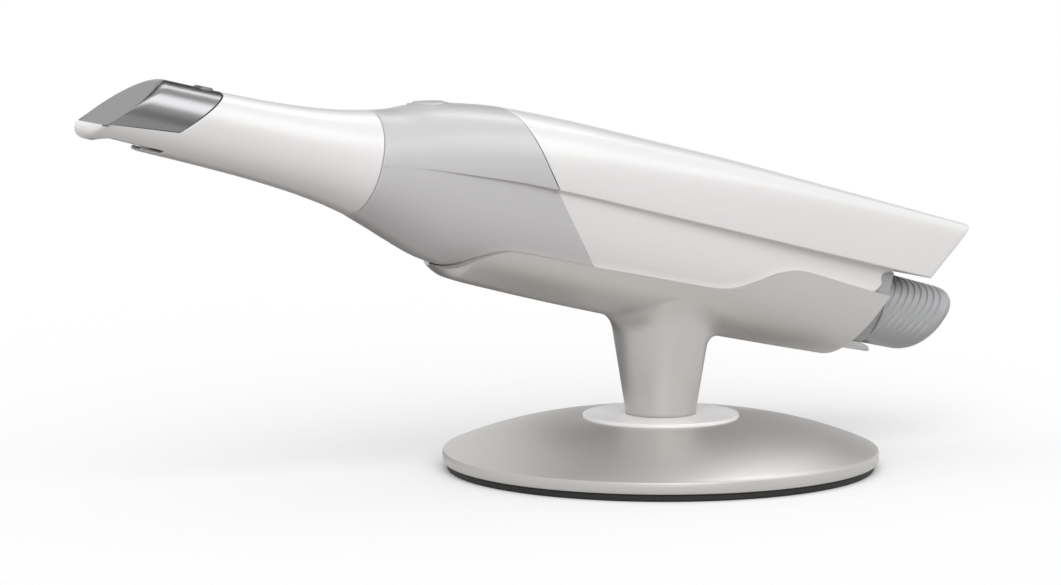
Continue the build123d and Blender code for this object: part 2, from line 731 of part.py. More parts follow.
def board_pieces():
    """Main board with its processor, radio module and screws."""
    top_z = BOARD_Z + BOARD_THICKNESS
    board = block(BOARD_START_X, BOARD_END_X, -BOARD_HALF_WIDTH, BOARD_HALF_WIDTH, BOARD_Z, top_z)
    screws = []
    for x, y in screw_places():
        board = board - Pos(x, y, BOARD_Z) * Cylinder(SCREW_RADIUS + BOND, 4 * BOARD_THICKNESS)
        shank_length = SCREW_DEPTH + BOARD_THICKNESS - BOND
        shank = Pos(x, y, top_z - shank_length / 2) * Cylinder(SCREW_RADIUS, shank_length)
        screws.append(shank + Pos(x, y, top_z + SCREW_HEAD / 2) * Cylinder(SCREW_HEAD_RADIUS, SCREW_HEAD))
    chip_x = (SPLITTER_BULKHEAD_X + BULKHEAD + SENSOR_BULKHEAD_X) / 2
    chip = Pos(chip_x, 0, top_z + CHIP_HEIGHT / 2) * Box(CHIP_SIZE, CHIP_SIZE, CHIP_HEIGHT)
    radio = Pos(RADIO_X, 0, top_z + RADIO_HEIGHT / 2) * Box(RADIO_LENGTH, RADIO_WIDTH, RADIO_HEIGHT)
    return {
        "main_board": board,
        "processor": chip,
        "radio_module": radio,
        "board_screws": Compound(children=screws),
    }


# Battery and its bay


def insert_bar(grow, x_from, x_to):
    """Rounded bar along the handpiece with the section of the battery's insert, grown by a gap."""
    half_width = INSERT_HALF_WIDTH + grow
    half_height = (INSERT_TOP - INSERT_BOTTOM) / 2 + grow
    section = Plane((x_from, 0, (INSERT_TOP + INSERT_BOTTOM) / 2), x_dir=(0, 1, 0), z_dir=(1, 0, 0))
    return extrude(section * RectangleRounded(2 * half_width, 2 * half_height, INSERT_ROUND + grow), x_to - x_from)


def grip_form(inset, drop):
    """Form of the battery's grip, set in by a depth, and lowered so that the depth fades downwards."""
    sections = []
    for x, taper in ((GRIP_START_X, 0), ((GRIP_START_X + GRIP_END_X) / 2, 0.4), (GRIP_END_X + WALL, 1)):
        sections.append(ring_section(
            x,
            GRIP_HALF_WIDTH - taper * GRIP_TAPER - inset,
            GRIP_MIDDLE,
            GRIP_TOP - inset - drop,
            GRIP_BOTTOM + inset - drop,
            BELLY_POWER,
        ))
    return Solid.make_loft(sections)


def grip_end():
    """Everything ahead of the grip's slanted end, its corners rounded from the side and from above."""
    lean = math.tan(math.radians(GRIP_SLANT))
    front = GRIP_START_X - WALL
    top, bottom = GRIP_TOP + SLIP, GRIP_BOTTOM - SLIP
    side = prism([
        (front, top), (GRIP_END_X + lean * SLIP, top),
        (GRIP_END_X - lean * (GRIP_TOP - bottom), bottom), (front, bottom),
    ])
    side = fillet(side.edges().filter_by(Axis.Y).sort_by(Axis.X)[-2:], GRIP_ROUND)
    plan = Rectangle(REACH, 2 * (GRIP_HALF_WIDTH + SLIP), align=(Align.MAX, Align.CENTER))
    plan = Pos(GRIP_END_X, 0, GRIP_TOP) * fillet(plan.vertices().sort_by(Axis.X)[-2:], GRIP_CORNER)
    return side & extrude(plan, REACH, dir=(lean, 0, 1), both=True)


def battery_pieces():
    """Ribbed battery case with its cell, board and pads, and the bay that it slides into."""
    mouth_x = LOWER_END_X + PART_LINE
    bay = insert_bar(SLIP + BAY_WALL, BAY_FRONT_X, mouth_x)
    flange = housing_form(-BAY_FLANGE_SETBACK) & behind_mouth(PART_LINE) & block(
        BAY_FRONT_X, BAY_FLANGE_END, -REACH, REACH, GRIP_BOTTOM, LEDGE_Z - SHELL_LIP - PART_LINE
    )
    posts = []
    for side in (-1, 1):
        height = BOARD_Z - INSERT_TOP
        post = Pos(BOARD_END_X - BULKHEAD, side * SCREW_SPREAD / 2, INSERT_TOP + height / 2 + BAY_WALL / 2)
        posts.append(post * Cylinder(BULKHEAD / 2, height - BAY_WALL))
    bay = bay + flange + posts - insert_bar(SLIP, BAY_FRONT_X + BAY_WALL, BAY_FLANGE_END)

    lean = math.tan(math.radians(GRIP_SLANT))
    ribs = []
    for rib in range(RIB_COUNT + 1):
        rear = GRIP_END_X - rib * RIB_PITCH
        front = rear - RIB_PITCH + RIB_GROOVE
        ribs.append(prism([
            (front + lean * GRIP_HALF_WIDTH, GRIP_TOP + GRIP_HALF_WIDTH),
            (rear + lean * GRIP_HALF_WIDTH, GRIP_TOP + GRIP_HALF_WIDTH),
            (rear - lean * REACH, GRIP_TOP - REACH),
            (front - lean * REACH, GRIP_TOP - REACH),
        ]))
    end = grip_end()
    grip = (grip_form(RIB_DEPTH, 2 * RIB_DEPTH) & end) + (grip_form(0, 0) & end & (Part() + ribs))
    case = insert_bar(0, INSERT_START_X, GRIP_START_X + WALL) + grip
    case = case - insert_bar(-CASE_WALL, INSERT_START_X, CELL_END_X + SLIP)
    board_x = INSERT_START_X + BOARD_THICKNESS
    board = insert_bar(-CASE_WALL - BOND, INSERT_START_X, board_x)
    cell = insert_bar(-CASE_WALL - SLIP, board_x + SLIP, CELL_END_X)
    pads = []
    pins = []
    middle_z = (INSERT_TOP + INSERT_BOTTOM) / 2
    for place in (-1, 0, 1):
        y = place * PIN_SPREAD
        pads.append(block(
            INSERT_START_X - PAD_THICKNESS, INSERT_START_X, y - PIN_RADIUS, y + PIN_RADIUS,
            middle_z - PIN_SPREAD / 2, middle_z + PIN_SPREAD / 2,
        ))
        pin_end = INSERT_START_X - PAD_THICKNESS - SLIP
        pins.append(rod(BAY_FRONT_X + BAY_WALL, pin_end, PIN_RADIUS, y=y, z=middle_z))
    return {
        "battery_bay": bay,
        "battery_case": case,
        "battery_cell": cell,
        "battery_board": board,
        "battery_pads": Compound(children=pads),
        "contact_pins": Compound(children=pins),
    }


# Stand


def cradle_piece():
    """Trough that follows the belly, with a higher cup at the rear, on a tapered stem."""
    ramp_top_x = CRADLE_FRONT_X + CRADLE_RAMP
    step_top_x = CRADLE_STEP_X + CRADLE_STEP_RUN
    end_z = CRADLE_REAR_Z - CRADLE_REAR_FALL
    under_z = BELLY_BOTTOM - CRADLE_WALL
    edge = [
        Spline(
            (CRADLE_FRONT_X, 0, under_z + CRADLE_WALL), (ramp_top_x, 0, CRADLE_FRONT_Z),
            tangents=[(1, 0, 1), (1, 0, 0.05)],
        ),
        Line((ramp_top_x, 0, CRADLE_FRONT_Z), (CRADLE_STEP_X, 0, CRADLE_STEP_Z)),
        Spline(
            (CRADLE_STEP_X, 0, CRADLE_STEP_Z), (step_top_x, 0, CRADLE_REAR_Z),
            tangents=[(1, 0, 0.05), (1, 0, -0.05)],
        ),
        Polyline(
            (step_top_x, 0, CRADLE_REAR_Z),
            (CRADLE_END_X, 0, end_z),
            (CRADLE_END_X - CRADLE_END_SLANT, 0, under_z + CRADLE_WALL),
            (CRADLE_END_X - CRADLE_END_SLANT - CRADLE_WALL, 0, -REACH),
            (CRADLE_FRONT_X, 0, -REACH),
            (CRADLE_FRONT_X, 0, under_z + CRADLE_WALL),
        ),
    ]
    zone = extrude(make_face(edge), REACH, dir=(0, 1, 0), both=True)
    outside = belly_form(SLIP + CRADLE_WALL)
    trough = (outside - belly_form(SLIP)) & zone
    stem_top_radius = STEM_FOOT_RADIUS + (STEM_TOP_Z - BASE_TOP_Z) * math.tan(math.radians(STEM_TAPER))
    stem_height = STEM_TOP_Z - BASE_TOP_Z
    stem = Pos(0, 0, BASE_TOP_Z + stem_height / 2) * Cone(STEM_FOOT_RADIUS, stem_top_radius, stem_height)
    bolt_hole = Pos(0, 0, BASE_TOP_Z) * Cylinder(BOLT_RADIUS + BOND, 2 * BOLT_REACH)
    stem = stem - bolt_hole - HANDPIECE * belly_form(SLIP + CRADLE_WALL / 2)
    cradle = (HANDPIECE * trough) + stem
    joints = [e for e in cradle.edges() if math.hypot(e.center().X, e.center().Y) < 2 * STEM_FOOT_RADIUS]
    joint = ShapeList(joints).sort_by(SortBy.LENGTH)[-1]
    return {"cradle": fillet(joint, STEM_FILLET)}


def base_pieces():
    """Domed cover over a steel weight, with the foot pad, the ring under the stem and the bolt."""
    rim_z = FOOT_THICKNESS + BASE_RIM
    plateau = RING_RADIUS + BASE_SHOULDER
    crown_r = (BASE_RADIUS + plateau) / 2
    crown_z = (rim_z + BASE_TOP_Z) / 2 + BASE_CROWN
    dome = ThreePointArc((BASE_RADIUS, 0, rim_z), (crown_r, 0, crown_z), (plateau, 0, BASE_TOP_Z))
    bore = BOLT_RADIUS + BOND
    outline = Polyline(
        (plateau, 0, BASE_TOP_Z), (bore, 0, BASE_TOP_Z), (bore, 0, FOOT_THICKNESS),
        (BASE_RADIUS, 0, FOOT_THICKNESS), (BASE_RADIUS, 0, rim_z),
    )
    solid_base = revolve(make_face([dome, outline]), Axis.Z)
    weight_radius = BASE_RADIUS - WEIGHT_INSET
    weight_top = FOOT_THICKNESS + WEIGHT_HEIGHT
    pocket_height = weight_top + SLIP - FOOT_THICKNESS
    pocket = Pos(0, 0, FOOT_THICKNESS + pocket_height / 2) * Cylinder(weight_radius + SLIP, pocket_height)
    weight_height = weight_top - FOOT_THICKNESS
    weight = Pos(0, 0, FOOT_THICKNESS + weight_height / 2) * Cylinder(weight_radius, weight_height)
    head_top = FOOT_THICKNESS + BOLT_HEAD
    washer_top = head_top + WASHER_THICKNESS
    sink_depth = washer_top - FOOT_THICKNESS
    sink = Pos(0, 0, FOOT_THICKNESS + sink_depth / 2) * Cylinder(WASHER_RADIUS + SLIP, sink_depth)
    weight = weight - sink - Cylinder(BOLT_RADIUS + BOND, 4 * weight_top)
    bolt_top = BASE_TOP_Z + BOLT_REACH - BOND
    shank = Pos(0, 0, (head_top + bolt_top) / 2) * Cylinder(BOLT_RADIUS, bolt_top - head_top)
    head = Pos(0, 0, FOOT_THICKNESS + BOLT_HEAD / 2)
    head = head * extrude(RegularPolygon(BOLT_HEAD_RADIUS, 6), BOLT_HEAD / 2, both=True)
    washer = Pos(0, 0, head_top + WASHER_THICKNESS / 2) * Cylinder(WASHER_RADIUS, WASHER_THICKNESS)
    ring = Pos(0, 0, BASE_TOP_Z + RING_THICKNESS / 2) * Cylinder(RING_RADIUS, RING_THICKNESS)
    ring_bore = STEM_FOOT_RADIUS + RING_THICKNESS * math.tan(math.radians(STEM_TAPER)) + BOND
    foot = Pos(0, 0, FOOT_THICKNESS / 2) * Cylinder(BASE_RADIUS - FOOT_INSET, FOOT_THICKNESS)
    return {
        "base_cover": solid_base - pocket,
        "base_weight": weight,
        "base_foot": foot,
        "collar_ring": ring - Pos(0, 0, BASE_TOP_Z) * Cylinder(ring_bore, 4 * RING_THICKNESS),
        "stem_bolt": head + shank,
        "stem_washer": washer - Pos(0, 0, head_top) * Cylinder(BOLT_RADIUS + BOND, 4 * WASHER_THICKNESS),
    }


def main():
    """Build every piece in the frame of the whole object and write one file for each."""
    os.makedirs("parts", exist_ok=True)
    handpiece = {
        **tip_pieces(), **shell_pieces(), **button_pieces(), **optic_pieces(), **chassis_piece(),
        **board_pieces(), **battery_pieces(),
    }
    pieces = {name: HANDPIECE * shape for name, shape in handpiece.items()}
    pieces.update(cradle_piece())
    pieces.update(base_pieces())
    for name, shape in pieces.items():
        export_step(shape, f"parts/{name}.step")


if __name__ == "__main__":
    main()
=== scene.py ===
"""Intraoral scanner on its desktop stand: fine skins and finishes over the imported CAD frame.

Lengths are written in millimetres and scaled once, when a mesh is made. The handpiece is drawn in
its own frame, x from nose to tail and z up, and HAND turns it onto the stand. The stand is drawn in
the row frame. Lamps and cards are placed in metres.
"""

import math

import bmesh
import bpy
import numpy as np
from mathutils import Matrix, Vector


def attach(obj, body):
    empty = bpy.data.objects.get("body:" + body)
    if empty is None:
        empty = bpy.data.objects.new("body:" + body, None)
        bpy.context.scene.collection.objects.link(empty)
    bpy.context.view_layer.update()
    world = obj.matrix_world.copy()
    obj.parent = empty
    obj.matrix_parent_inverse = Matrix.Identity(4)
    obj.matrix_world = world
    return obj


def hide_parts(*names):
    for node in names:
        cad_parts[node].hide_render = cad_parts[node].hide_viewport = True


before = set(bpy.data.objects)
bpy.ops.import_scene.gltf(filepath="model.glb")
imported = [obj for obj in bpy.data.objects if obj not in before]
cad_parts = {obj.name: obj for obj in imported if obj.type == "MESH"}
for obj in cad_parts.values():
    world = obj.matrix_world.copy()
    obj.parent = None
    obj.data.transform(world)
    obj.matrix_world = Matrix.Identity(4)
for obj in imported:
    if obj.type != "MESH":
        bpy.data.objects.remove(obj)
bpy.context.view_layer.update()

MM = 0.001
HAND_PLACE = (-178.4, 0, 110.0)
HAND_TILT = math.radians(14.5)
HAND = Matrix.Translation(HAND_PLACE) @ Matrix.Rotation(HAND_TILT, 4, "Y")
STAND = Matrix.Identity(4)
FIXED = "stand_and_handpiece"

# Lengths below which doubles and slivers are merged, and the steps of a rounded rim
MERGE = 0.004
SLIVER = 0.002
RIM_ANGLES = [math.radians(angle) for angle in (0, 22, 45, 68, 90)]

# Sections of the handpiece at the nose, the collar and the housing
AXIS_Z = 0.9
NOSE_HALF_WIDTH = 9.2
NOSE_TOP = 10.1
NOSE_BOTTOM = -9.2
COLLAR_HALF_WIDTH = 14.2
COLLAR_TOP = 15.0
COLLAR_BOTTOM = -13.4
HOUSING_HALF_WIDTH = 21.0
HOUSING_TOP = 24.9
HOUSING_BOTTOM = -21.9
ROUND_POWER = 2.1
BACK_POWER = 12.0
BELLY_POWER = 2.3
TIP_COLUMNS = 161
HALF_POINTS = 44
EDGE_CROWDING = 1.15

# Tip: nose lip, scan opening and metal cap
TIP_START = 4.5
COLLAR_X = 86.5
SLEEVE_WALL = 0.9
NOSE_X = 5.0
FACE_X = 13.5
LIP_Z = -4.8
LIP_BACK_X = 8.8
LIP_LANDING = 0.5
LIP_SETBACK = 0.6
LIP_SIDE_REACH = 1.0
LIP_SIDE_ROUND = 0.4
LIP_ROUND_GAIN = 1.8
CHIN_LAP = 1.6
CHIN_END = 9.0
CHIN_SWEEP = 3.6
CHIN_PROUD = 0.01
OPENING_START = 10.6
OPENING_Z = -7.7
SLOT_START = 22.2
SLOT_END = 28.0
SLOT_HEIGHT = 1.2
SLOT_SWEEP = 2.0
CAP_LENGTH = 18.4
CAP_GAP = 0.3
CAP_EDGE = ((0.8, 0), (0.2, 0), (0.06, 0.06), (0, 0.2))
CAP_EDGE_REACH = 0.3
CREASE = 2.2
CREASE_LIMIT = 0.45
SIDE_Z = -4.55
SKIRT_REAR_X = 29.4
SKIRT_REAR_Z = -2.5
SKIRT_FOOT = 0.06
FOOT_PINCH = 0.97
TAB_X = 37.5
TAB_PROFILE = ((2.6, -0.4), (2.6, 0.2), (2.4, 0.42), (2.1, 0.5), (0.01, 0.5))

# Housing: ledge, seam, tail and walls
HOUSING_START = 86.65
HOUSING_END = 276.0
LEDGE_Z = 5.4
LEDGE_START_DEPTH = 0.02
LEDGE_DEPTH = 3.6
LEDGE_LIP = 0.5
LEDGE_LAP = 1.2
LEDGE_ROOT = 0.6
SEAM_POINTS = ((121.7, 26.9), (137.2, 5.4), (171.2, -23.9))
PART_LINE = 0.15
TAIL_TOP_X = 274.0
TAIL_SLANT = math.tan(math.radians(31))
TAIL_RIM = 0.8
TAIL_BORDER = 0.04
FLOOR_INSET = 0.6
LOWER_END_X = 247.5
LOWER_WALL = 0.85
TONGUE_HALF_WIDTH = 7.5
TONGUE_ROOT = 4.5
TONGUE_REACH = 11.0
TONGUE_END = 10.98
SHELL_RIM = 0.3
SHELL_WALL = 1.2
SHELL_SHARP = 50.0

# Share of the tip's length, and how far its section has grown from nose to collar
TIP_GUIDE = ((0.0, 0.0), (0.33, 0.05), (0.57, 0.15), (0.76, 0.36), (0.9, 0.66), (1.0, 1.0))

# Share of the housing's length, and how far these have grown: back, belly, width, the ledge's
# height, the ledge's depth, the belly's power and the back's power
HOUSING_GUIDE = (
    (0.000, 0.00, 0.00, 0.00, 0.00, 0.00, 0.0, 0.00),
    (0.029, 0.14, 0.19, 0.18, 0.24, 0.00, 0.1, 0.01),
    (0.045, 0.25, 0.29, 0.26, 0.33, 0.00, 0.1, 0.01),
    (0.071, 0.44, 0.47, 0.41, 0.47, 0.04, 0.2, 0.02),
    (0.135, 0.73, 0.83, 0.69, 0.69, 0.17, 0.4, 0.04),
    (0.219, 0.93, 0.98, 0.90, 0.91, 0.30, 0.6, 0.07),
    (0.335, 0.99, 1.00, 1.00, 1.00, 0.45, 0.7, 0.12),
    (0.520, 0.99, 0.94, 1.00, 1.00, 0.65, 0.8, 0.23),
    (0.731, 0.90, 0.77, 0.88, 1.00, 0.85, 0.9, 0.48),
    (1.000, 0.77, 0.45, 0.63, 1.00, 1.00, 1.0, 1.00),
)

# Height, and how far behind LOWER_END_X the lower shell's rear edge lies there
MOUTH_GUIDE = (
    (-24.0, -2.9), (-12.0, -2.9), (-5.0, -2.5), (-1.5, -1.0), (-0.3, 0.1), (1.1, 0.6), (2.3, 0.0),
    (3.4, 0.1), (5.6, 2.2),
)


# Guides and sections


def between(start, end, share):
    """The value a given share of the way from start to end."""
    return start + (end - start) * share


def slopes(places, values):
    """Slope of a smooth guide at each of its points, flat where the guide turns back."""
    pairs = zip(places, places[1:], values, values[1:])
    steps = [(v1 - v0) / (p1 - p0) for p0, p1, v0, v1 in pairs]
    inner = [2 * a * b / (a + b) if a * b > 0 else 0.0 for a, b in zip(steps, steps[1:])]
    return [steps[0]] + inner + [steps[-1]]


def follow(guide, place):
    """Values of a guide at a place along it, read off smooth curves through its points."""
    places = [row[0] for row in guide]
    index = max(i for i in range(len(places) - 1) if places[i] <= place or i == 0)
    run = places[index + 1] - places[index]
    t = (place - places[index]) / run
    result = []
    for column in range(1, len(guide[0])):
        values = [row[column] for row in guide]
        slope = slopes(places, values)
        start, end = values[index], values[index + 1]
        leave, arrive = slope[index] * run, slope[index + 1] * run
        bend = 3 * (end - start) - 2 * leave - arrive
        twist = 2 * (start - end) + leave + arrive
        result.append(start + t * (leave + t * (bend + t * twist)))
    return result


def crown_point(turn, half_width, base_z, peak_z, power):
    """Point of a rounded curve: turn 0 is its +y foot, pi / 2 its peak and pi its -y foot."""
    across = math.copysign(abs(math.cos(turn)) ** (2 / power), math.cos(turn))
    up = max(math.sin(turn), 0) ** (2 / power)
    return half_width * across, base_z + (peak_z - base_z) * up


def housing_sizes(x):
    """Sizes of the housing's section at a station."""
    place = min(max((x - HOUSING_START) / (HOUSING_END - HOUSING_START), 0), 1)
    back, belly, width, ledge, depth, square, crest = follow(HOUSING_GUIDE, place)
    half_width = between(COLLAR_HALF_WIDTH, HOUSING_HALF_WIDTH, width)
    return {
        "half_width": half_width,
        "top": between(COLLAR_TOP, HOUSING_TOP, back),
        "bottom": between(COLLAR_BOTTOM, HOUSING_BOTTOM, belly),
        "ledge": between(AXIS_Z, LEDGE_Z, ledge),
        "belly_half_width": half_width - between(LEDGE_START_DEPTH, LEDGE_DEPTH, depth),
        "back_power": between(ROUND_POWER, BACK_POWER, crest),
        "belly_power": between(ROUND_POWER, BELLY_POWER, square),
    }


def tip_sizes(x):
    """Half width, top and bottom of the tip's section at a station."""
    place = (x - TIP_START) / (COLLAR_X - TIP_START)
    growth, = follow(TIP_GUIDE, min(max(place, 0), 1))
    return (
        between(NOSE_HALF_WIDTH, COLLAR_HALF_WIDTH, growth),
        between(NOSE_TOP, COLLAR_TOP, growth),
        between(NOSE_BOTTOM, COLLAR_BOTTOM, growth),
    )


def spread(count, start, end):
    """Evenly spaced values, both ends included."""
    return [between(start, end, step / (count - 1)) for step in range(count)]


def arc(centre, radius, start, end, count):
    """Points of a circular arc in a section, angles in degrees."""
    angles = [math.radians(a) for a in spread(count, start, end)]
    return [(centre[0] + radius * math.cos(a), centre[1] + radius * math.sin(a)) for a in angles]


def mirrored(half):
    """A half section, from the mid-plane to the +y side, carried on to the other side."""
    return [(-y, z) for y, z in reversed(half[1:])] + half


def upper_half(x, root):
    """Back of the housing from its ridge to the ledge's root, with the ledge's lip rounded."""
    s = housing_sizes(x)
    depth = s["half_width"] - s["belly_half_width"]
    lip = min(LEDGE_LIP, (1 - LEDGE_ROOT) * depth)
    turns = [math.pi / 2 * (1 - share ** EDGE_CROWDING) for share in spread(HALF_POINTS, 0, 1)]
    foot = s["ledge"] + lip
    points = [crown_point(t, s["half_width"], foot, s["top"], s["back_power"]) for t in turns]
    points += arc((s["half_width"] - lip, foot), lip, 0, -90, 6)[1:]
    inner = s["belly_half_width"] + root
    points += [(y, s["ledge"]) for y in spread(5, s["half_width"] - lip, inner)[1:]]
    return points


def lower_half(x):
    """Belly of the housing from its keel up to the ledge, with the ledge's root filleted."""
    s = housing_sizes(x)
    wide, power = s["belly_half_width"], s["belly_power"]
    root = LEDGE_ROOT * (s["half_width"] - wide)
    foot = s["ledge"] - root
    turns = spread(HALF_POINTS, math.pi / 2, 0)
    points = [crown_point(t, wide, foot, s["bottom"], power) for t in turns]
    return points + arc((wide + root, foot), root, 180, 90, 9)[1:]


def whole_section(x):
    """Closed section of the housing in front of the seam, with the ledge's root filleted."""
    s = housing_sizes(x)
    root = LEDGE_ROOT * (s["half_width"] - s["belly_half_width"])
    right = upper_half(x, root) + lower_half(x)[-2::-1]
    return right + [(-y, z) for y, z in reversed(right[1:-1])]


def tip_section(x):
    """Closed section of the tip."""
    half_width, top, bottom = tip_sizes(x)
    turns = spread(TIP_COLUMNS, 0, math.pi)
    upper = [crown_point(t, half_width, AXIS_Z, top, ROUND_POWER) for t in turns]
    lower = [crown_point(t, half_width, AXIS_Z, bottom, ROUND_POWER) for t in turns]
    return upper + list(reversed(lower))[1:-1]


class Table:
    """A section's columns read at close stations, so that every column can run to its own end."""

    def __init__(self, section, x_from, x_to):
        self.start = x_from
        self.step = 1.0
        count = int(math.ceil((x_to - x_from) / self.step)) + 1
        self.points = np.array([section(x_from + self.step * i) for i in range(count)])
        inward = self.points.mean(axis=1, keepdims=True) * np.array([0, 1]) - self.points
        self.inward = inward / np.linalg.norm(inward, axis=2, keepdims=True)
        self.columns = np.arange(self.points.shape[1])

    def read(self, xs, inset=0.0):
        """Points of all columns, each at its own station, set in by a depth."""
        place = np.clip((xs - self.start) / self.step, 0, len(self.points) - 1.001)
        low = place.astype(int)
        part = (place - low)[:, None]
        before = self.points[low, self.columns] * (1 - part)
        at = before + self.points[low + 1, self.columns] * part
        at = at + self.inward[low, self.columns] * np.reshape(inset, (-1, 1))
        return np.column_stack([xs, at])

    def ends(self, limit, guess):
        """Station of every column where it meets a limit given as x of height."""
        xs = np.full(len(self.columns), float(guess))
        for _ in range(12):
            heights = self.read(xs)[:, 2]
            xs = np.array([limit(z) for z in heights])
        return xs

    def rows(self, starts, ends, count, front_rim=0.0, rear_rim=0.0, turn_in=1.4):
        """Rows of points from every column's start to its end, with rims turned inwards."""
        rows = []
        if front_rim:
            rows.append(self.read(starts, turn_in))
            for a in RIM_ANGLES[:-1]:
                stations = starts + front_rim * (1 - math.cos(a))
                rows.append(self.read(stations, front_rim * (1 - math.sin(a))))
        body_from = starts + front_rim
        body_to = ends - rear_rim
        for share in spread(count, 0, 1):
            rows.append(self.read(between(body_from, body_to, share)))
        if rear_rim:
            for a in RIM_ANGLES[1:]:
                stations = ends - rear_rim * (1 - math.sin(a))
                rows.append(self.read(stations, rear_rim * (1 - math.cos(a))))
            rows.append(self.read(ends, turn_in))
        return rows


def seam_x(z):
    """Station of the seam between the front shell and the rear shells, an arc through three points."""
    (x1, z1), (x2, z2), (x3, z3) = SEAM_POINTS
    d = 2 * (x1 * (z2 - z3) + x2 * (z3 - z1) + x3 * (z1 - z2))
    s1, s2, s3 = x1 * x1 + z1 * z1, x2 * x2 + z2 * z2, x3 * x3 + z3 * z3
    cx = (s1 * (z2 - z3) + s2 * (z3 - z1) + s3 * (z1 - z2)) / d
    cz = (s1 * (x3 - x2) + s2 * (x1 - x3) + s3 * (x2 - x1)) / d
    radius = math.hypot(x1 - cx, z1 - cz)
    side = 1 if x2 > cx else -1
    return cx + side * math.sqrt(max(radius ** 2 - (z - cz) ** 2, 0))


def tail_x(z):
    """Station of the slanted tail face at a height."""
    return TAIL_TOP_X - (HOUSING_TOP - z) * TAIL_SLANT


# Meshes


class Skin:
    """Grids of points gathered into one mesh."""

    def __init__(self):
        self.points = []
        self.faces = []

    def grid(self, rows, closed=False, flip=None):
        """Adds rows of points; closed joins the last column to the first.

        Faces turn away from the middle of the grid, unless flip says which way they turn.
        """
        first = len(self.points)
        rows = np.array(rows, float)
        count, width = rows.shape[:2]
        if flip is None:
            along = rows[1:, :-1] - rows[:-1, :-1]
            across = rows[:-1, 1:] - rows[:-1, :-1]
            out = rows[:-1, :-1] - rows.reshape(-1, 3).mean(axis=0)
            flip = (np.cross(across, along) * out).sum() < 0
        self.points += [tuple(p) for p in rows.reshape(-1, 3)]
        for r in range(count - 1):
            for c in range(width if closed else width - 1):
                a = first + r * width + c
                b = first + r * width + (c + 1) % width
                face = (a, b, b + width, a + width)
                self.faces.append(face[::-1] if flip else face)
        return self

    def flat(self, points):
        """Adds one flat face with the given outline."""
        first = len(self.points)
        self.points += [tuple(p) for p in points]
        self.faces.append(tuple(range(first, first + len(points))))

    def piece(self, name, place, wall=0.0, sharp=35.0):
        """One object at the origin, its points placed in the row frame, with a wall if asked."""
        mesh = bpy.data.meshes.new(name)
        mesh.from_pydata([place @ Vector(p) * MM for p in self.points], [], self.faces)
        merged = bmesh.new()
        merged.from_mesh(mesh)
        bmesh.ops.remove_doubles(merged, verts=merged.verts, dist=MERGE * MM)
        bmesh.ops.dissolve_degenerate(merged, edges=merged.edges, dist=SLIVER * MM)
        merged.to_mesh(mesh)
        merged.free()
        piece = bpy.data.objects.new(name, mesh)
        bpy.context.scene.collection.objects.link(piece)
        if wall:
            shell = piece.modifiers.new("wall", "SOLIDIFY")
            shell.thickness = wall * MM
            shell.offset = -1
        shade(mesh, sharp)
        return piece


def shade(mesh, sharp):
    """Smooth shading, broken at edges sharper than an angle in degrees."""
    mesh.polygons.foreach_set("use_smooth", [True] * len(mesh.polygons))
    mesh.set_sharp_from_angle(angle=math.radians(sharp))


def dress(piece, body, slot, *nodes):
    """Puts a finished piece on its body in place of its CAD nodes, with the finish of its slot."""
    piece.data.materials.clear()
    piece.data.materials.append(FINISHES[slot])
    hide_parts(*nodes)
    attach(piece, body)


def lathe(profile, count=160):
    """Rows of a body turned about the vertical, from a profile of (radius, height) points."""
    rows = []
    for radius, height in profile:
        angles = [2 * math.pi * step / count for step in range(count)]
        rows.append([(radius * math.cos(a), radius * math.sin(a), height) for a in angles])
    return rows


def bezier(start, bend, end, count):
    """Points of a quadratic curve between two points, bent towards a third."""
    points = []
    for t in spread(count, 0, 1):
        points.append(start * (1 - t) ** 2 + bend * (2 * t * (1 - t)) + end * t ** 2)
    return points


# Finishes

BLOTCH_SCALE = 28.0
BUMP_REACH = 0.0004
COAT_ROUGHNESS = 0.15
REFRACTION = 1.5


class Value:
    """A shader socket that Python expressions can be written with."""

    def __init__(self, tree, socket=None):
        self.tree = tree
        self.socket = socket

    def node(self, kind, settings=None, output=0, **sockets):
        """Adds a node with settings and sockets, i0 and i1 by number, and gives one output."""
        node = self.tree.nodes.new(kind)
        for key, value in (settings or {}).items():
            setattr(node, key, value)
        for key, value in sockets.items():
            numbered = key[0] == "i" and key[1:].isdigit()
            self.feed(node.inputs[int(key[1:]) if numbered else key], value)
        return Value(self.tree, node.outputs[output])

    def feed(self, target, value):
        """Links a value to a socket, or sets the socket to a constant."""
        if isinstance(value, Value):
            self.tree.links.new(value.socket, target)
        else:
            target.default_value = value

    def maths(self, operation, other, swapped=False):
        """One Math node between this value and another."""
        first, second = (other, self) if swapped else (self, other)
        return self.node("ShaderNodeMath", {"operation": operation}, i0=first, i1=second)

    def __add__(self, other):
        return self.maths("ADD", other)

    def __radd__(self, other):
        return self.maths("ADD", other, True)

    def __sub__(self, other):
        return self.maths("SUBTRACT", other)

    def __rsub__(self, other):
        return self.maths("SUBTRACT", other, True)

    def __mul__(self, other):
        return self.maths("MULTIPLY", other)

    def __rmul__(self, other):
        return self.maths("MULTIPLY", other, True)

    def __truediv__(self, other):
        return self.maths("DIVIDE", other)

    def __rtruediv__(self, other):
        return self.maths("DIVIDE", other, True)

    def limit(self):
        """This value kept between zero and one."""
        return self.node("ShaderNodeClamp", Value=self)

    def tint(self, dark, light):
        """Mixes two colours by this value."""
        mix = {"Factor": self, "A": (*dark, 1), "B": (*light, 1)}
        return self.node("ShaderNodeMix", {"data_type": "RGBA"}, "Result", **mix)


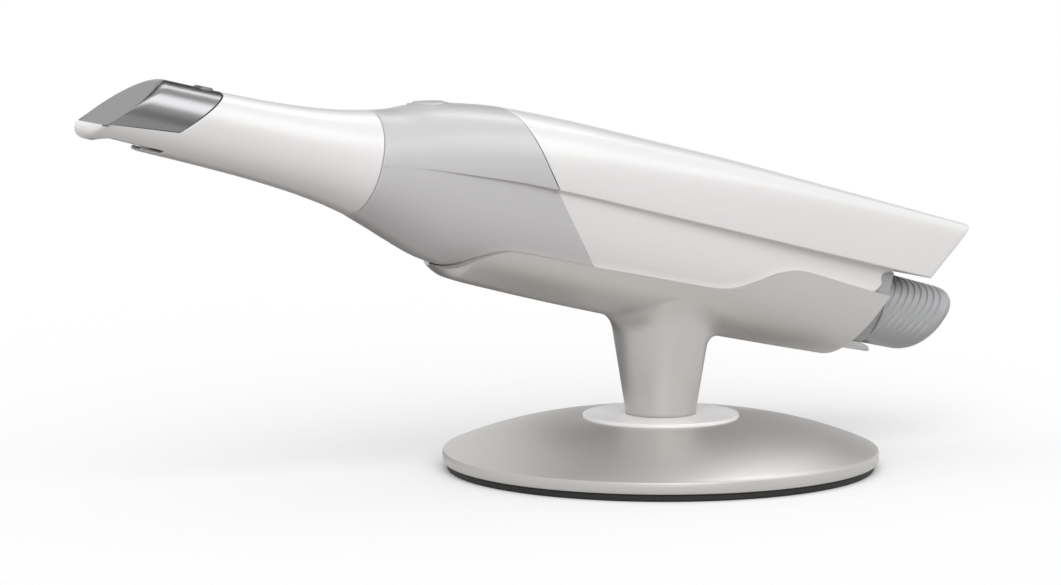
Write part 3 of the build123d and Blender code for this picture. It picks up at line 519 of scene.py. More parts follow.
def finish(name, colour, rough, metal=0.0, grain=900.0, depth=0.02, sway=0.03, rough_sway=0.05,
           coat=0.0, clear=0.0):
    """Finish with a moulding or spray grain: colour and roughness sway a little over a fine bump."""
    material = bpy.data.materials.new(name)
    material.use_nodes = True
    tree = material.node_tree
    shader = tree.nodes["Principled BSDF"]
    where = Value(tree).node("ShaderNodeTexCoord", output="Object")
    broad = where.node("ShaderNodeTexNoise", Vector=where, Scale=BLOTCH_SCALE, Detail=3.0)
    fine = where.node("ShaderNodeTexNoise", Vector=where, Scale=grain, Detail=2.0)
    dark = tuple(c * (1 - sway) for c in colour)
    light = tuple(min(c * (1 + sway), 1) for c in colour)
    where.feed(shader.inputs["Base Color"], (broad * 0.7 + fine * 0.3).tint(dark, light))
    uneven = rough + (broad - 0.5) * rough_sway
    where.feed(shader.inputs["Roughness"], uneven + (fine - 0.5) * rough_sway)
    bump = where.node("ShaderNodeBump", Height=fine, Strength=depth, Distance=BUMP_REACH)
    where.feed(shader.inputs["Normal"], bump)
    shader.inputs["Metallic"].default_value = metal
    shader.inputs["Coat Weight"].default_value = coat
    shader.inputs["Coat Roughness"].default_value = COAT_ROUGHNESS
    shader.inputs["Transmission Weight"].default_value = clear
    shader.inputs["IOR"].default_value = REFRACTION
    return material


LOOKS = {
    "white_gloss": dict(colour=(0.82, 0.812, 0.81), rough=0.32, coat=0.1),
    "light_grey": dict(colour=(0.585, 0.575, 0.58), rough=0.36, coat=0.05),
    "battery_grey": dict(colour=(0.43, 0.435, 0.445), rough=0.42),
    "black_plastic": dict(colour=(0.012, 0.012, 0.013), rough=0.45),
    "polished_metal": dict(colour=(0.23, 0.23, 0.235), rough=0.28, metal=1.0, grain=240.0, depth=0.0,
                           sway=0.01, rough_sway=0.02),
    "silver": dict(colour=(0.55, 0.535, 0.52), rough=0.4, metal=0.65, grain=2600.0, depth=0.05,
                   sway=0.05),
    "black_anodised": dict(colour=(0.02, 0.02, 0.022), rough=0.38, metal=0.3),
    "bare_aluminium": dict(colour=(0.66, 0.67, 0.68), rough=0.34, metal=1.0),
    "steel": dict(colour=(0.52, 0.52, 0.53), rough=0.30, metal=1.0),
    "copper": dict(colour=(0.70, 0.32, 0.16), rough=0.30, metal=1.0),
    "gold": dict(colour=(0.86, 0.62, 0.24), rough=0.25, metal=1.0),
    "clear_glass": dict(colour=(0.93, 0.95, 0.95), rough=0.04, clear=1.0, depth=0.0, rough_sway=0.01),
    "mirror_glass": dict(colour=(0.86, 0.87, 0.88), rough=0.04, metal=1.0, depth=0.0, rough_sway=0.01),
    "board_green": dict(colour=(0.02, 0.13, 0.06), rough=0.40),
    "chip_black": dict(colour=(0.02, 0.02, 0.022), rough=0.50),
    "cell_wrap": dict(colour=(0.06, 0.13, 0.30), rough=0.35),
    "rubber": dict(colour=(0.016, 0.016, 0.017), rough=0.70, grain=1500.0, depth=0.08),
}
FINISHES = {name: finish(name, **look) for name, look in LOOKS.items()}

# Nodes that keep their CAD meshes take the finish of their slot, and the bezel the housing's grey
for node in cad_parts.values():
    for place, held in enumerate(node.data.materials):
        slot_name = held.name.split(".")[0] if held is not None else ""
        if slot_name in FINISHES:
            node.data.materials[place] = FINISHES[slot_name]
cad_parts["button_bezel"].data.materials[0] = FINISHES["light_grey"]


# Tip sleeve, open below


def sleeve_start(z):
    """Station where the sleeve begins at a height, behind the cap's edge and the scan opening."""
    if z > SKIRT_REAR_Z:
        return FACE_X + CAP_LENGTH + z
    if z > LIP_Z:
        rise = max(z - SIDE_Z, SKIRT_FOOT) / (SKIRT_REAR_Z - SIDE_Z)
        return between(LIP_BACK_X, SKIRT_REAR_X, rise)
    if z > LIP_Z - LIP_LANDING:
        return LIP_BACK_X + LIP_SETBACK
    if z > OPENING_Z:
        return OPENING_START
    if z > OPENING_Z - SLOT_HEIGHT:
        return SLOT_END
    return SLOT_START + SLOT_SWEEP * (OPENING_Z - SLOT_HEIGHT - z)


def chin_end(z):
    """Station where the chin under the nose ends, sweeping up to the opening's side edges."""
    if z > OPENING_Z:
        return OPENING_START + CHIN_LAP
    share = (z - NOSE_BOTTOM) / (OPENING_Z - NOSE_BOTTOM)
    return CHIN_END + CHIN_SWEEP * share * share


tip_table = Table(tip_section, x_from=4.0, x_to=90.0)
sleeve_starts = tip_table.ends(sleeve_start, guess=20.0)
sleeve_ends = np.full(len(sleeve_starts), COLLAR_X)
sleeve_rows = tip_table.rows(sleeve_starts, sleeve_ends, 90, 0.15, SHELL_RIM, turn_in=1.0)
sleeve = Skin().grid(sleeve_rows, True)
dress(sleeve.piece("tip_sleeve", HAND, SLEEVE_WALL), "tip", "white_gloss", "tip_sleeve")

# Nose lip: every low column comes forward, rounds the nose and runs back over the lip to the
# mirror's foot
nose_section = tip_table.points[4]
low = [c for c in tip_table.columns if nose_section[c, 1] < LIP_Z - 0.2]
chin_back = tip_table.ends(chin_end, guess=10.0)
side = np.abs(nose_section[:, 0])
middle = np.maximum(1 - (side / side[low].max()) ** 3, 0)
lip_front = between(LIP_BACK_X - LIP_SIDE_REACH, NOSE_X, middle)
lip_round = LIP_SIDE_ROUND + LIP_ROUND_GAIN * np.sqrt(middle)
chin_rows = []
for share in spread(7, 0, 1):
    stations = between(chin_back, lip_front + lip_round, share)
    chin_rows.append(tip_table.read(stations, -CHIN_PROUD)[low])
for angle in spread(10, 0, 90)[1:]:
    a = math.radians(angle)
    stations = lip_front + lip_round * (1 - math.sin(a))
    rounded = tip_table.read(stations, lip_round * (1 - math.cos(a)))
    rounded[:, 2] = np.minimum(rounded[:, 2], LIP_Z)
    chin_rows.append(rounded[low])
nose_rim = chin_rows[-1]
lip_level = np.full(len(low), LIP_Z)
lip_edge = np.column_stack([np.full(len(low), LIP_BACK_X), chin_rows[0][:, 1], lip_level])
lip_middle = between(nose_rim[:, 1], lip_edge[:, 1], 0.5)
lip_bend = np.column_stack([nose_rim[:, 0], lip_middle, lip_level])
chin_rows += bezier(nose_rim, lip_bend, lip_edge, 10)[1:]
chin_rows.append(lip_edge * np.array([1, FOOT_PINCH, 1]) + np.array([0.2, 0, -0.6]))
lip = Skin().grid(chin_rows)
dress(lip.piece("tip_lip", HAND), "tip", "white_gloss", "tip_sleeve")


# Metal cap: its curved hood turns over a soft crease into the flat mirror face


def cap_point(share, turn, inset):
    """Point of the hood, a share of the way from the mirror face's plane to its rear edge."""
    x = 20.0
    for _ in range(8):
        half_width, top, bottom = tip_sizes(x)
        peak = top if turn > 0 else bottom
        y, z = crown_point(abs(turn), half_width, AXIS_Z, peak, ROUND_POWER)
        x = FACE_X + z + share * CAP_LENGTH
    shrink = 1 - inset / math.hypot(y, z - AXIS_Z)
    return x, y * shrink, AXIS_Z + (z - AXIS_Z) * shrink


def cap_row(share, inset=0.0):
    """Row of the hood from one side edge over the top to the other."""
    low_z = between(SIDE_Z, SKIRT_REAR_Z, share) + CAP_GAP * min(1, 0.2 + 3 * share)
    bottom = tip_sizes(FACE_X + low_z + share * CAP_LENGTH)[2]
    low_turn = -math.asin(((AXIS_Z - low_z) / (AXIS_Z - bottom)) ** (ROUND_POWER / 2))
    half = [cap_point(share, turn, inset) for turn in spread(60, math.pi / 2, low_turn)]
    return np.array([(x, -y, z) for x, y, z in reversed(half[1:])] + half)


cap = Skin()
cap_rear = 1 - CAP_GAP / CAP_LENGTH
cap_rows = []
for inset, setback in CAP_EDGE:
    cap_rows.append(cap_row(cap_rear - setback / CAP_LENGTH, inset))
for share in spread(24, cap_rear - CAP_EDGE_REACH / CAP_LENGTH, CREASE / CAP_LENGTH):
    cap_rows.append(cap_row(share))
rim = cap_row(0.0)
face_foot = np.full(len(rim), FACE_X + LIP_Z)
feet = np.column_stack([face_foot, rim[:, 1] * FOOT_PINCH, np.full(len(rim), LIP_Z)])
drop = feet - rim
reach = np.linalg.norm(drop, axis=1)
inner = rim + drop * (np.minimum(CREASE, CREASE_LIMIT * reach) / reach)[:, None]
cap_rows += bezier(cap_rows[-1], rim, inner, 10)[1:]
for share in spread(10, 0, 1)[1:]:
    cap_rows.append(between(inner, feet, share))
cap.grid(cap_rows)
tab_rows = []
for radius, rise in TAB_PROFILE:
    tab_ring = []
    for a in spread(33, 0, 2 * math.pi)[:-1]:
        x = TAB_X + radius * math.cos(a)
        y = radius * math.sin(a)
        half_width, top, _ = tip_sizes(x)
        fall = (1 - abs(y / half_width) ** ROUND_POWER) ** (1 / ROUND_POWER)
        tab_ring.append((x, y, AXIS_Z + (top - AXIS_Z) * fall + rise))
    tab_rows.append(tab_ring)
cap.grid(tab_rows, True)
dress(cap.piece("mirror_cap", HAND), "tip", "polished_metal", "mirror_cap")

# Front shell, from the collar to the seam
front_table = Table(whole_section, x_from=HOUSING_START, x_to=175.0)
front_starts = np.full(len(front_table.columns), HOUSING_START)
front_ends = front_table.ends(seam_x, guess=140.0)
front = Skin().grid(front_table.rows(front_starts, front_ends, 80, SHELL_RIM, SHELL_RIM), True)
front_piece = front.piece("front_shell", HAND, SHELL_WALL, SHELL_SHARP)
dress(front_piece, FIXED, "light_grey", "front_shell")


def behind_seam(z):
    """Station of the rear shells' front edge at a height, one part line behind the seam."""
    return seam_x(z) + PART_LINE


# Top shell, from the seam to the overhanging tail; the ledge ends square below the rounded rim
top_table = Table(lambda x: mirrored(upper_half(x, -LEDGE_LAP)), x_from=110.0, x_to=HOUSING_END)
top = Skin()
top_starts = top_table.ends(behind_seam, guess=140.0)
top_ends = top_table.ends(tail_x, guess=270.0)
top_rows = top_table.rows(top_starts, top_ends, 90, SHELL_RIM, TAIL_RIM)[:-1]
square_end = top_table.read(top_ends)
ledge_columns = square_end[:, 2] < LEDGE_Z + 0.01
for row in top_rows[1 - len(RIM_ANGLES):]:
    row[ledge_columns] = square_end[ledge_columns]
top.grid(top_rows)
tail_rim = np.array([point for point in top_rows[-1] if point[2] > LEDGE_Z + 0.05])
tail_foot = np.array([tail_x(LEDGE_Z), 0, LEDGE_Z])
tail_border = between(tail_rim, tail_foot, TAIL_BORDER)
top.grid([tail_rim, tail_border], flip=True)
top.flat(tail_border[::-1])
floor_rows = []
for share in spread(12, 0, 1):
    x = between(LOWER_END_X, tail_x(LEDGE_Z), share)
    wide = housing_sizes(x)["belly_half_width"] - FLOOR_INSET
    floor_rows.append([(x, y, LEDGE_Z + 0.02) for y in spread(9, -wide, wide)])
top.grid(floor_rows, flip=False)
dress(top.piece("top_shell", HAND, SHELL_WALL, SHELL_SHARP), FIXED, "white_gloss", "top_shell")


# Lower shell: its rear edge curls round the battery's mouth, and a tongue runs on under the battery


def lowered_section(x):
    """Belly of the housing, one part line below the top shell's ledge."""
    return mirrored([(y, z - PART_LINE) for y, z in lower_half(x)])


def mouth_x(z):
    """Station of the lower shell's rear edge at a height."""
    return follow(MOUTH_GUIDE, z)[0] + LOWER_END_X


low_table = Table(lowered_section, x_from=130.0, x_to=262.0)
lower = Skin()
low_starts = low_table.ends(behind_seam, guess=160.0)
low_ends = low_table.ends(mouth_x, guess=246.0)
lower.grid(low_table.rows(low_starts, low_ends, 80, SHELL_RIM, SHELL_RIM))
tongue_rows = []
for x in spread(20, LOWER_END_X - TONGUE_ROOT, LOWER_END_X + TONGUE_END):
    s = housing_sizes(x)
    power = s["belly_power"]
    wide = TONGUE_HALF_WIDTH * math.sqrt(1 - (max(x - LOWER_END_X, 0) / TONGUE_REACH) ** 2)
    row = []
    for y in spread(19, -wide, wide):
        fall = (1 - abs(y / s["belly_half_width"]) ** power) ** (1 / power)
        row.append((x, y, s["ledge"] - (s["ledge"] - s["bottom"]) * fall))
    tongue_rows.append(row)
lower.grid(tongue_rows)
dress(lower.piece("lower_shell", HAND, LOWER_WALL, SHELL_SHARP), FIXED, "white_gloss", "lower_shell")

# Battery: the grip's rows lie parallel to its slanted end, so that its grooves follow them
GRIP_START = 252.1
GRIP_END = 280.1
GRIP_HALF_WIDTH = 13.8
GRIP_TOP = 4.6
GRIP_AXIS_Z = -4.5
GRIP_BOTTOM = -16.2
GRIP_POWER = 2.3
GRIP_TAPER = 0.07
GRIP_LEAN = math.tan(math.radians(25))
GRIP_ROUND = 4.5
GRIP_CLOSED = 12.0
GRIP_POINTS = 120
GRIP_STEP = 0.115
GRIP_FRONT_SHARE = 0.6
GRIP_SHARP = 40.0
END_SET_INS = (6.0, 8.0, 10.0, 11.6, 11.99)
INSERT_PROFILE = ((206.0, 4.0), (204.3, 0.6), (205.0, 0.0), (250.0, 0.0), (254.0, 0.0))
INSERT_HALF_WIDTH = 9.0
INSERT_HALF_HEIGHT = 6.5
INSERT_Z = -5.5
INSERT_POINTS = 60


def grip_row(slant_x, set_in):
    """Closed section of the grip in a slanted plane, no part of it ahead of the grip's front."""
    row = []
    for step in range(GRIP_POINTS):
        turn = 2 * math.pi * step / GRIP_POINTS
        peak = GRIP_TOP if turn <= math.pi else GRIP_BOTTOM
        y, z = crown_point(turn % math.pi, GRIP_HALF_WIDTH, GRIP_AXIS_Z, peak, GRIP_POWER)
        if turn > math.pi:
            y = -y
        x = max(slant_x - GRIP_LEAN * (GRIP_TOP - z), GRIP_START)
        along = (x - GRIP_START) / (GRIP_END - GRIP_START)
        taper = 1 - GRIP_TAPER * along - set_in / GRIP_CLOSED
        z = GRIP_AXIS_Z + (z - GRIP_AXIS_Z) * taper
        row.append((max(slant_x - GRIP_LEAN * (GRIP_TOP - z), GRIP_START), y * taper, z))
    return row


grip = Skin()
front_row = []
for _, y, z in grip_row(GRIP_START, 0):
    front_z = GRIP_AXIS_Z + (z - GRIP_AXIS_Z) * GRIP_FRONT_SHARE
    front_row.append((GRIP_START, y * GRIP_FRONT_SHARE, front_z))
grip_rows = [front_row]
for slant_x in np.arange(GRIP_START, GRIP_END - GRIP_ROUND, GRIP_STEP):
    grip_rows.append(grip_row(slant_x, 0))
for angle in spread(12, 0, 90):
    a = math.radians(angle)
    slant_x = GRIP_END - GRIP_ROUND * (1 - math.sin(a))
    grip_rows.append(grip_row(slant_x, GRIP_ROUND * (1 - math.cos(a))))
for set_in in END_SET_INS:
    grip_rows.append(grip_row(GRIP_END, set_in))
grip.grid(grip_rows, True)
insert_rows = []
for x, set_in in INSERT_PROFILE:
    row = []
    for step in range(INSERT_POINTS):
        turn = 2 * math.pi * step / INSERT_POINTS
        across = math.copysign(abs(math.cos(turn)) ** 0.5, math.cos(turn))
        upward = math.copysign(abs(math.sin(turn)) ** 0.5, math.sin(turn))
        y = across * (INSERT_HALF_WIDTH - set_in)
        z = upward * (INSERT_HALF_HEIGHT - set_in)
        row.append((x, y, z + INSERT_Z))
    insert_rows.append(row)
grip.grid(insert_rows, True)
case = grip.piece("battery_case", HAND, sharp=GRIP_SHARP)


def groove_tree():
    """Node tree that presses even grooves into the grip, fading towards its underside and ends."""
    tree = bpy.data.node_groups.new("grip_grooves", "GeometryNodeTree")
    face = tree.interface
    face.new_socket("Geometry", in_out="INPUT", socket_type="NodeSocketGeometry")
    for name in ("Pitch", "Groove", "Depth", "Rear"):
        face.new_socket(name, in_out="INPUT", socket_type="NodeSocketFloat")
    face.new_socket("Finish", in_out="INPUT", socket_type="NodeSocketMaterial")
    face.new_socket("Geometry", in_out="OUTPUT", socket_type="NodeSocketGeometry")
    given = tree.nodes.new("NodeGroupInput")
    wanted = {socket.name: Value(tree, socket) for socket in given.outputs if socket.name}
    start = wanted["Geometry"]
    pitch, groove, rear = wanted["Pitch"], wanted["Groove"], wanted["Rear"]
    place = start.node("GeometryNodeInputPosition")
    turn = HAND.to_3x3()
    origin = HAND.translation
    along, upward = turn.col[0], turn.col[2]
    dot = {"operation": "DOT_PRODUCT"}
    x = place.node("ShaderNodeVectorMath", dot, "Value", i0=place, i1=along)
    z = place.node("ShaderNodeVectorMath", dot, "Value", i0=place, i1=upward)
    x = x - along.dot(origin) * MM
    z = z - upward.dot(origin) * MM
    slant_x = x + (GRIP_TOP * MM - z) * GRIP_LEAN
    phase = (rear - slant_x).maths("MODULO", pitch)
    ramp = groove * 0.35
    wall = pitch - groove
    pressed = ((phase - wall) / ramp).limit() * ((pitch - phase) / ramp).limit()
    low_fade = ((z + 13.0 * MM) / (9.0 * MM)).limit()
    front_fade = ((x - GRIP_START * MM - 0.2 * MM) / (0.4 * MM)).limit()
    rear_fade = ((rear - 1.5 * MM - slant_x) / (1.0 * MM)).limit()
    depth = pressed * (low_fade * front_fade * rear_fade) * wanted["Depth"] * -1.0
    normal = start.node("GeometryNodeInputNormal")
    offset = normal.node("ShaderNodeVectorMath", {"operation": "SCALE"}, i0=normal, Scale=depth)
    moved = start.node("GeometryNodeSetPosition", Geometry=start, Offset=offset)
    moved = moved.node("GeometryNodeRealizeInstances", Geometry=moved)
    moved = moved.node("GeometryNodeSetMaterial", Geometry=moved, Material=wanted["Finish"])
    result = tree.nodes.new("NodeGroupOutput")
    tree.links.new(moved.socket, result.inputs["Geometry"])
    return tree


def grooved(piece, values):
    """Runs the groove tree over a piece and keeps its result as a plain mesh."""
    run = piece.modifiers.new("grooves", "NODES")
    run.node_group = groove_tree()
    for socket in run.node_group.interface.items_tree:
        if socket.in_out == "INPUT" and socket.name in values:
            run[socket.identifier] = values[socket.name]
    pressed = piece.evaluated_get(bpy.context.evaluated_depsgraph_get())
    made = bpy.data.meshes.new_from_object(pressed)
    piece.modifiers.remove(run)
    piece.data = made
    shade(made, GRIP_SHARP)


grooved(case, {
    "Pitch": 2.3 * MM, "Groove": 0.75 * MM, "Depth": 0.55 * MM, "Rear": GRIP_END * MM,
    "Finish": FINISHES["battery_grey"],
})
dress(case, "battery", "battery_grey", "battery_case")

# Cradle: a trough one gap outside the belly, on a stem whose top flows out into it
SLIP = 0.3
CRADLE_WALL = 2.2
CRADLE_FRONT = 115.0
CRADLE_REAR = 250.3
CRADLE_TAPER = 6.0
TAPER_POWER = 1.6
FRONT_CROWDING = 1.6
REAR_EDGE_Z = -2.0
REAR_LEAN = 7.5
REAR_DEPTH = 19.9
REAR_LEAN_LIMIT = 1.3
TROUGH_ROWS = 150
TROUGH_COLUMNS = 61
TROUGH_SHARP = 40.0
EDGE_ROUND = 0.35

# Station, and the height of the cradle's edge there
EDGE_GUIDE = (
    (115.0, -21.3), (116.2, -21.1), (117.3, -20.7), (118.3, -20.0), (119.3, -19.1), (120.5, -18.0),
    (123.6, -15.9), (127.2, -14.0), (130.2, -13.25), (134.1, -13.05), (141.5, -12.75),
    (156.2, -12.4), (170.3, -11.7), (196.0, -10.6), (202.0, -9.5), (208.0, -6.2), (214.0, -2.4),
    (221.0, -0.7), (236.0, -1.4), (250.3, -2.0),
)


def belly_point(x, turn, grow):
    """Point of the belly, grown outwards, at a station and a turn from its +y to its -y foot."""
    s = housing_sizes(x)
    half_width = s["belly_half_width"] + grow
    y, z = crown_point(turn, half_width, s["ledge"], s["bottom"] - grow, s["belly_power"])
    return x, y, z


def edge_turn(x, grow):
    """Turn at which the grown belly reaches the cradle's edge."""
    s = housing_sizes(x)
    edge_z, = follow(EDGE_GUIDE, x)
    share = (s["ledge"] - edge_z) / (s["ledge"] - s["bottom"] + grow)
    return math.asin(min(max(share, 0.0), 0.999) ** (s["belly_power"] / 2))


def trough_rows(wall):
    """Rows of the trough's inner or outer face: a rounded front, a rear that leans to the keel."""
    rows = []
    for step in spread(TROUGH_ROWS, 0, 1):
        share = step ** FRONT_CROWDING
        x = between(CRADLE_FRONT, CRADLE_REAR, share)
        blunt = min((x - CRADLE_FRONT) / CRADLE_TAPER, 1)
        grow = SLIP + wall * (1 - (1 - blunt) ** TAPER_POWER)
        turn_from = between(edge_turn(x, SLIP), edge_turn(x, grow), blunt)
        row = []
        for turn in spread(TROUGH_COLUMNS, turn_from, math.pi - turn_from):
            z = belly_point(x, turn, grow)[2]
            low_share = min(max((REAR_EDGE_Z - z) / REAR_DEPTH, 0), REAR_LEAN_LIMIT)
            rear = CRADLE_REAR - REAR_LEAN * low_share
            row.append(belly_point(between(CRADLE_FRONT, rear, share), turn, grow))
        rows.append(row)
    return rows


cradle = Skin()
outside = trough_rows(CRADLE_WALL)
inside = trough_rows(0.0)
loop = [out + inn[::-1] for out, inn in zip(outside, inside)]
cradle.grid(loop, True, flip=False)
for end, flip in ((0, True), (-1, False)):
    cradle.grid([outside[end], inside[end]], flip=flip)
trough = cradle.piece("cradle", HAND, sharp=TROUGH_SHARP)
round_edge = trough.modifiers.new("edges", "BEVEL")
round_edge.width = EDGE_ROUND * MM
round_edge.segments = 3
round_edge.limit_method = "ANGLE"
round_edge.angle_limit = math.radians(50)
dress(trough, FIXED, "silver", "cradle")

STEM_FOOT = 9.4
STEM_SPREAD = math.tan(math.radians(9.3))
STEM_Z = 14.1
STEM_COLUMNS = 96
STEM_WALL = 1.0
STEM_SHARP = 60.0
FLARE = 5.0
FLARE_SINK = 0.8
FLARE_AXIS_Z = -2
STEM_REACH = 60.0
under = HAND.inverted()


def belly_gap(point):
    """Below zero inside the trough's outer face, above zero outside it."""
    x, y, z = under @ Vector(point)
    s = housing_sizes(x)
    grow = SLIP + CRADLE_WALL
    high = max(s["ledge"] - z, 0) / (s["ledge"] - s["bottom"] + grow)
    wide = abs(y) / (s["belly_half_width"] + grow)
    return wide ** s["belly_power"] + high ** s["belly_power"] - 1


def meet(start, direction):
    """Point where a line from below meets the trough's outer face."""
    near, far = 0.0, STEM_REACH
    for _ in range(40):
        halfway = (near + far) / 2
        if belly_gap(start + direction * halfway) > 0:
            near = halfway
        else:
            far = halfway
    return start + direction * near


stem_columns = []
for step in range(STEM_COLUMNS):
    a = 2 * math.pi * step / STEM_COLUMNS
    outwards = Vector((math.cos(a), math.sin(a), 0))
    rise = (Vector((0, 0, 1)) + outwards * STEM_SPREAD).normalized()
    foot = outwards * STEM_FOOT + Vector((0, 0, STEM_Z))
    joint = meet(foot, rise)
    run = FLARE
    for _ in range(6):
        spot = joint + outwards * run
        flare_end = meet(Vector((spot.x, spot.y, STEM_Z)), Vector((0, 0, 1)))
        run *= FLARE / (flare_end - joint).length
    flare_start = joint - rise * FLARE
    column = [foot.lerp(flare_start, share) for share in spread(14, 0, 1)]
    column += bezier(flare_start, joint, flare_end, 12)[1:]
    axis = HAND @ Vector(((under @ flare_end).x, 0, FLARE_AXIS_Z))
    column.append(flare_end + (axis - flare_end).normalized() * FLARE_SINK)
    stem_columns.append(column)
stem = Skin().grid([list(row) for row in zip(*stem_columns)], True)
dress(stem.piece("cradle_stem", STAND, STEM_WALL, STEM_SHARP), FIXED, "silver", "cradle")

# Base cover, foot and collar ring, turned about the vertical from (radius, height) profiles
BASE_RADIUS = 60.0
RIM_TOP = 5.4
DOME_RADIUS = 24.0
DOME_TOP = 14.1
DOME_BULGE = 1.7
COVER_WALL = 1.0
COVER_RIM = [
    (52.0, 2.05), (59.3, 2.05), (59.75, 2.2), (BASE_RADIUS, 2.6), (BASE_RADIUS, RIM_TOP - 0.5),
    (59.9, RIM_TOP - 0.12), (59.6, RIM_TOP + 0.12),
]
COVER_SEAT = [(23.4, 14.15), (22.4, 14.15), (5.0, 14.15)]
FOOT_PROFILE = [
    (0.02, 2.0), (58.3, 2.0), (58.65, 1.85), (58.8, 1.5), (58.8, 0.5), (58.65, 0.15), (58.3, 0.0),
    (0.02, 0.0),
]
RING_PROFILE = [(9.6, 14.2), (21.5, 14.15), (21.5, 14.75), (21.35, 15.0), (21.05, 15.1), (9.6, 15.1)]


def turned_piece(name, profile, slot, wall=0.0):
    """Makes and dresses a piece of the stand that is turned from its profile."""
    dress(Skin().grid(lathe(profile), True).piece(name, STAND, wall), FIXED, slot, name)


dome = []
for share in spread(26, 0, 1):
    bulge = 4 * DOME_BULGE * share * (1 - share)
    dome_z = between(RIM_TOP, DOME_TOP, share) + bulge
    dome.append((between(BASE_RADIUS, DOME_RADIUS, share), dome_z))
turned_piece("base_cover", COVER_RIM + dome[1:] + COVER_SEAT, "silver", COVER_WALL)
turned_piece("base_foot", FOOT_PROFILE, "rubber")
turned_piece("collar_ring", RING_PROFILE, "white_gloss")

# Camera, at the photo's station: the row frame's origin lies at ORIGIN_PIXEL
AZIMUTH = math.radians(-30.0)
ELEVATION = math.radians(7.2)
DISTANCE = 1442.0
PIXELS_PER_MM = 3.63
PHOTO_WIDTH = 1061.0
PHOTO_MIDDLE = (530.5, 292.5)
ORIGIN_PIXEL = (660.5, 467.0)
SENSOR = 36.0
FOCUS = PIXELS_PER_MM * DISTANCE
level = math.cos(ELEVATION)
back = Vector((math.sin(AZIMUTH) * level, -math.cos(AZIMUTH) * level, math.sin(ELEVATION)))
right = Vector((math.cos(AZIMUTH), math.sin(AZIMUTH), 0))
up = right.cross(-back)
across = (ORIGIN_PIXEL[0] - PHOTO_MIDDLE[0]) / FOCUS
above = (PHOTO_MIDDLE[1] - ORIGIN_PIXEL[1]) / FOCUS
lens = bpy.data.cameras.new("camera")
lens.sensor_width = SENSOR
lens.lens = FOCUS / PHOTO_WIDTH * SENSOR
lens.clip_start = 0.05
camera = bpy.data.objects.new("camera", lens)
station = Matrix.Translation((back - right * across - up * above) * DISTANCE * MM)
camera.matrix_world = station @ Matrix((right, up, back)).transposed().to_4x4()
bpy.context.scene.collection.objects.link(camera)
bpy.context.scene.camera = camera
bpy.context.scene.view_settings.view_transform = "Standard"

# Floor and backdrop
FLOOR_HALF = 40
FLOOR_TONE = (0.35, 0.34, 0.33)
WHITE = (1.0, 1.0, 1.0)
WORLD_LIGHT = 0.75


def seen(tree):
    """One where the background itself is seen: by the camera, and in metal and glass."""
    start = Value(tree)
    camera_ray, glossy_ray, clear_ray = [
        start.node("ShaderNodeLightPath", output=name)
        for name in ("Is Camera Ray", "Is Glossy Ray", "Is Transmission Ray")
    ]
    return (camera_ray + glossy_ray + clear_ray).limit()


def rectangle(half_width, half_height):
    """Corners of a level rectangle about the origin."""
    return [
        (-half_width, -half_height, 0), (half_width, -half_height, 0),
        (half_width, half_height, 0), (-half_width, half_height, 0),
    ]


floor_mesh = bpy.data.meshes.new("floor")
floor_mesh.from_pydata(rectangle(FLOOR_HALF, FLOOR_HALF), [], [(0, 1, 2, 3)])
floor = bpy.data.objects.new("floor", floor_mesh)
bpy.context.scene.collection.objects.link(floor)
floor_paint = bpy.data.materials.new("floor_white")
floor_paint.use_nodes = True
floor_shader = floor_paint.node_tree.nodes["Principled BSDF"]
floor_shader.inputs["Roughness"].default_value = 0.9
floor_shader.inputs["Specular IOR Level"].default_value = 0.0
shown = seen(floor_paint.node_tree)
shown.feed(floor_shader.inputs["Base Color"], shown.tint(FLOOR_TONE, WHITE))
floor_mesh.materials.append(floor_paint)

world = bpy.data.worlds.new("studio")
bpy.context.scene.world = world
world.use_nodes = True
backdrop = world.node_tree.nodes["Background"]
shown = seen(world.node_tree)
backdrop.inputs["Color"].default_value = (*WHITE, 1)
shown.feed(backdrop.inputs["Strength"], WORLD_LIGHT + shown * (1 - WORLD_LIGHT))

# Light: a soft sun, and lamps and black cards that only reflections show, placed in metres
SUN_STRENGTH = 1.35
SUN_ANGLE = math.radians(50)
SUN_DIRECTION = (0.3, 0.75, -0.59)
LAMP_AIM = (-0.12, 0, 0.1)
CAP_AIM = (-0.15, 0, 0.10)

# Name, place, aim, size and power of each lamp
LAMPS = (
    ("streak", (0.55, 0.42, 0.95), LAMP_AIM, 0.4, 2.2),
    ("hood", (0.46, -0.68, 0.72), LAMP_AIM, 0.62, 3.8),
)

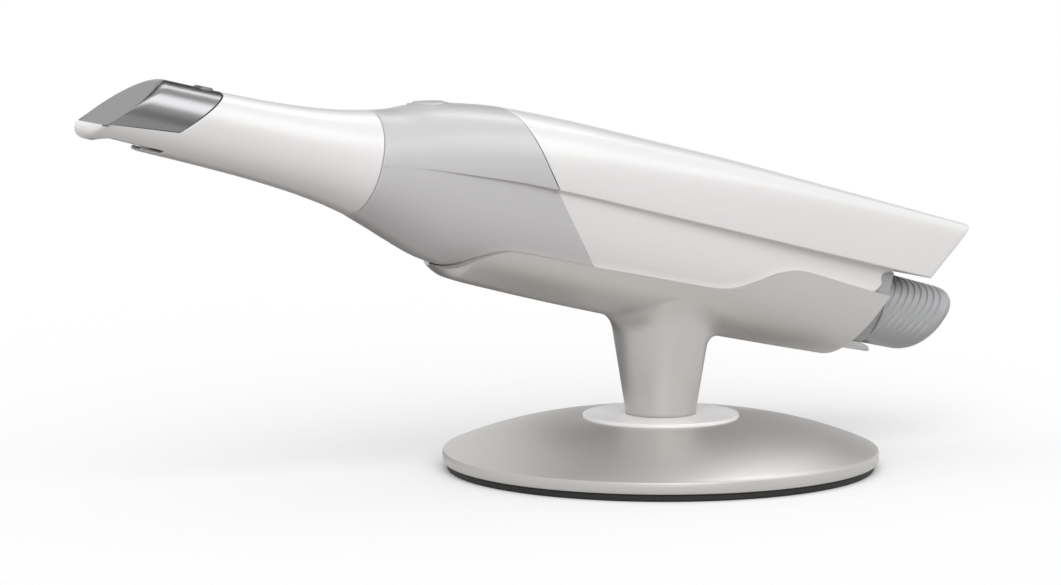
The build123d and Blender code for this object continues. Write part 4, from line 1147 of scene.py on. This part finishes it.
# Name, place, aim, width and height of each card
CARDS = (
    ("side_flag", (0.11, -0.45, 0.05), CAP_AIM, 0.13, 0.1),
    ("floor_flag", (0.07, -0.36, 0.002), (0.07, -0.36, 1.0), 0.16, 0.2),
    # Dark sheet on the floor under the stand: a painted shadow that only reflections show
    ("painted_shadow_card", (0.04, 0.13, 0.001), (0.04, 0.13, 1.0), 0.36, 0.16),
    ("back_flag", (0.6, 0.69, 0.6), (0.02, 0, 0.01), 0.7, 0.8),
    ("top_flag", (-0.08, 0.26, 0.9), CAP_AIM, 0.28, 0.8),
    ("crease_flag", (-0.49, -0.34, 0.74), CAP_AIM, 0.6, 0.6),
)
card_paint = finish("flag_black", (0.02, 0.02, 0.02), 0.8)


def lamp(name, place, aim, size, power):
    """Soft square lamp turned towards a point; matt surfaces don't take its light."""
    light = bpy.data.lights.new(name, "AREA")
    light.size = size
    light.energy = power
    holder = bpy.data.objects.new(name, light)
    holder.visible_diffuse = False
    holder.location = place
    holder.rotation_euler = (Vector(aim) - Vector(place)).to_track_quat("-Z", "Y").to_euler()
    bpy.context.scene.collection.objects.link(holder)


def card(name, place, aim, width, height):
    """Black card that faces a point, for the dark bands that metal shows; no camera sees it."""
    turn = (Vector(aim) - Vector(place)).to_track_quat("Z", "Y").to_matrix().to_4x4()
    facing = Matrix.Translation(place) @ turn
    corners = rectangle(width / 2, height / 2)
    mesh = bpy.data.meshes.new(name)
    mesh.from_pydata([facing @ Vector(corner) for corner in corners], [], [(0, 1, 2, 3)])
    mesh.materials.append(card_paint)
    holder = bpy.data.objects.new(name, mesh)
    holder.visible_camera = False
    holder.visible_diffuse = False
    holder.visible_shadow = False
    bpy.context.scene.collection.objects.link(holder)


sun = bpy.data.lights.new("sky", "SUN")
sun.energy = SUN_STRENGTH
sun.angle = SUN_ANGLE
sun_holder = bpy.data.objects.new("sky", sun)
sun_holder.rotation_euler = Vector(SUN_DIRECTION).to_track_quat("-Z", "Y").to_euler()
bpy.context.scene.collection.objects.link(sun_holder)
for values in LAMPS:
    lamp(*values)
for values in CARDS:
    card(*values)
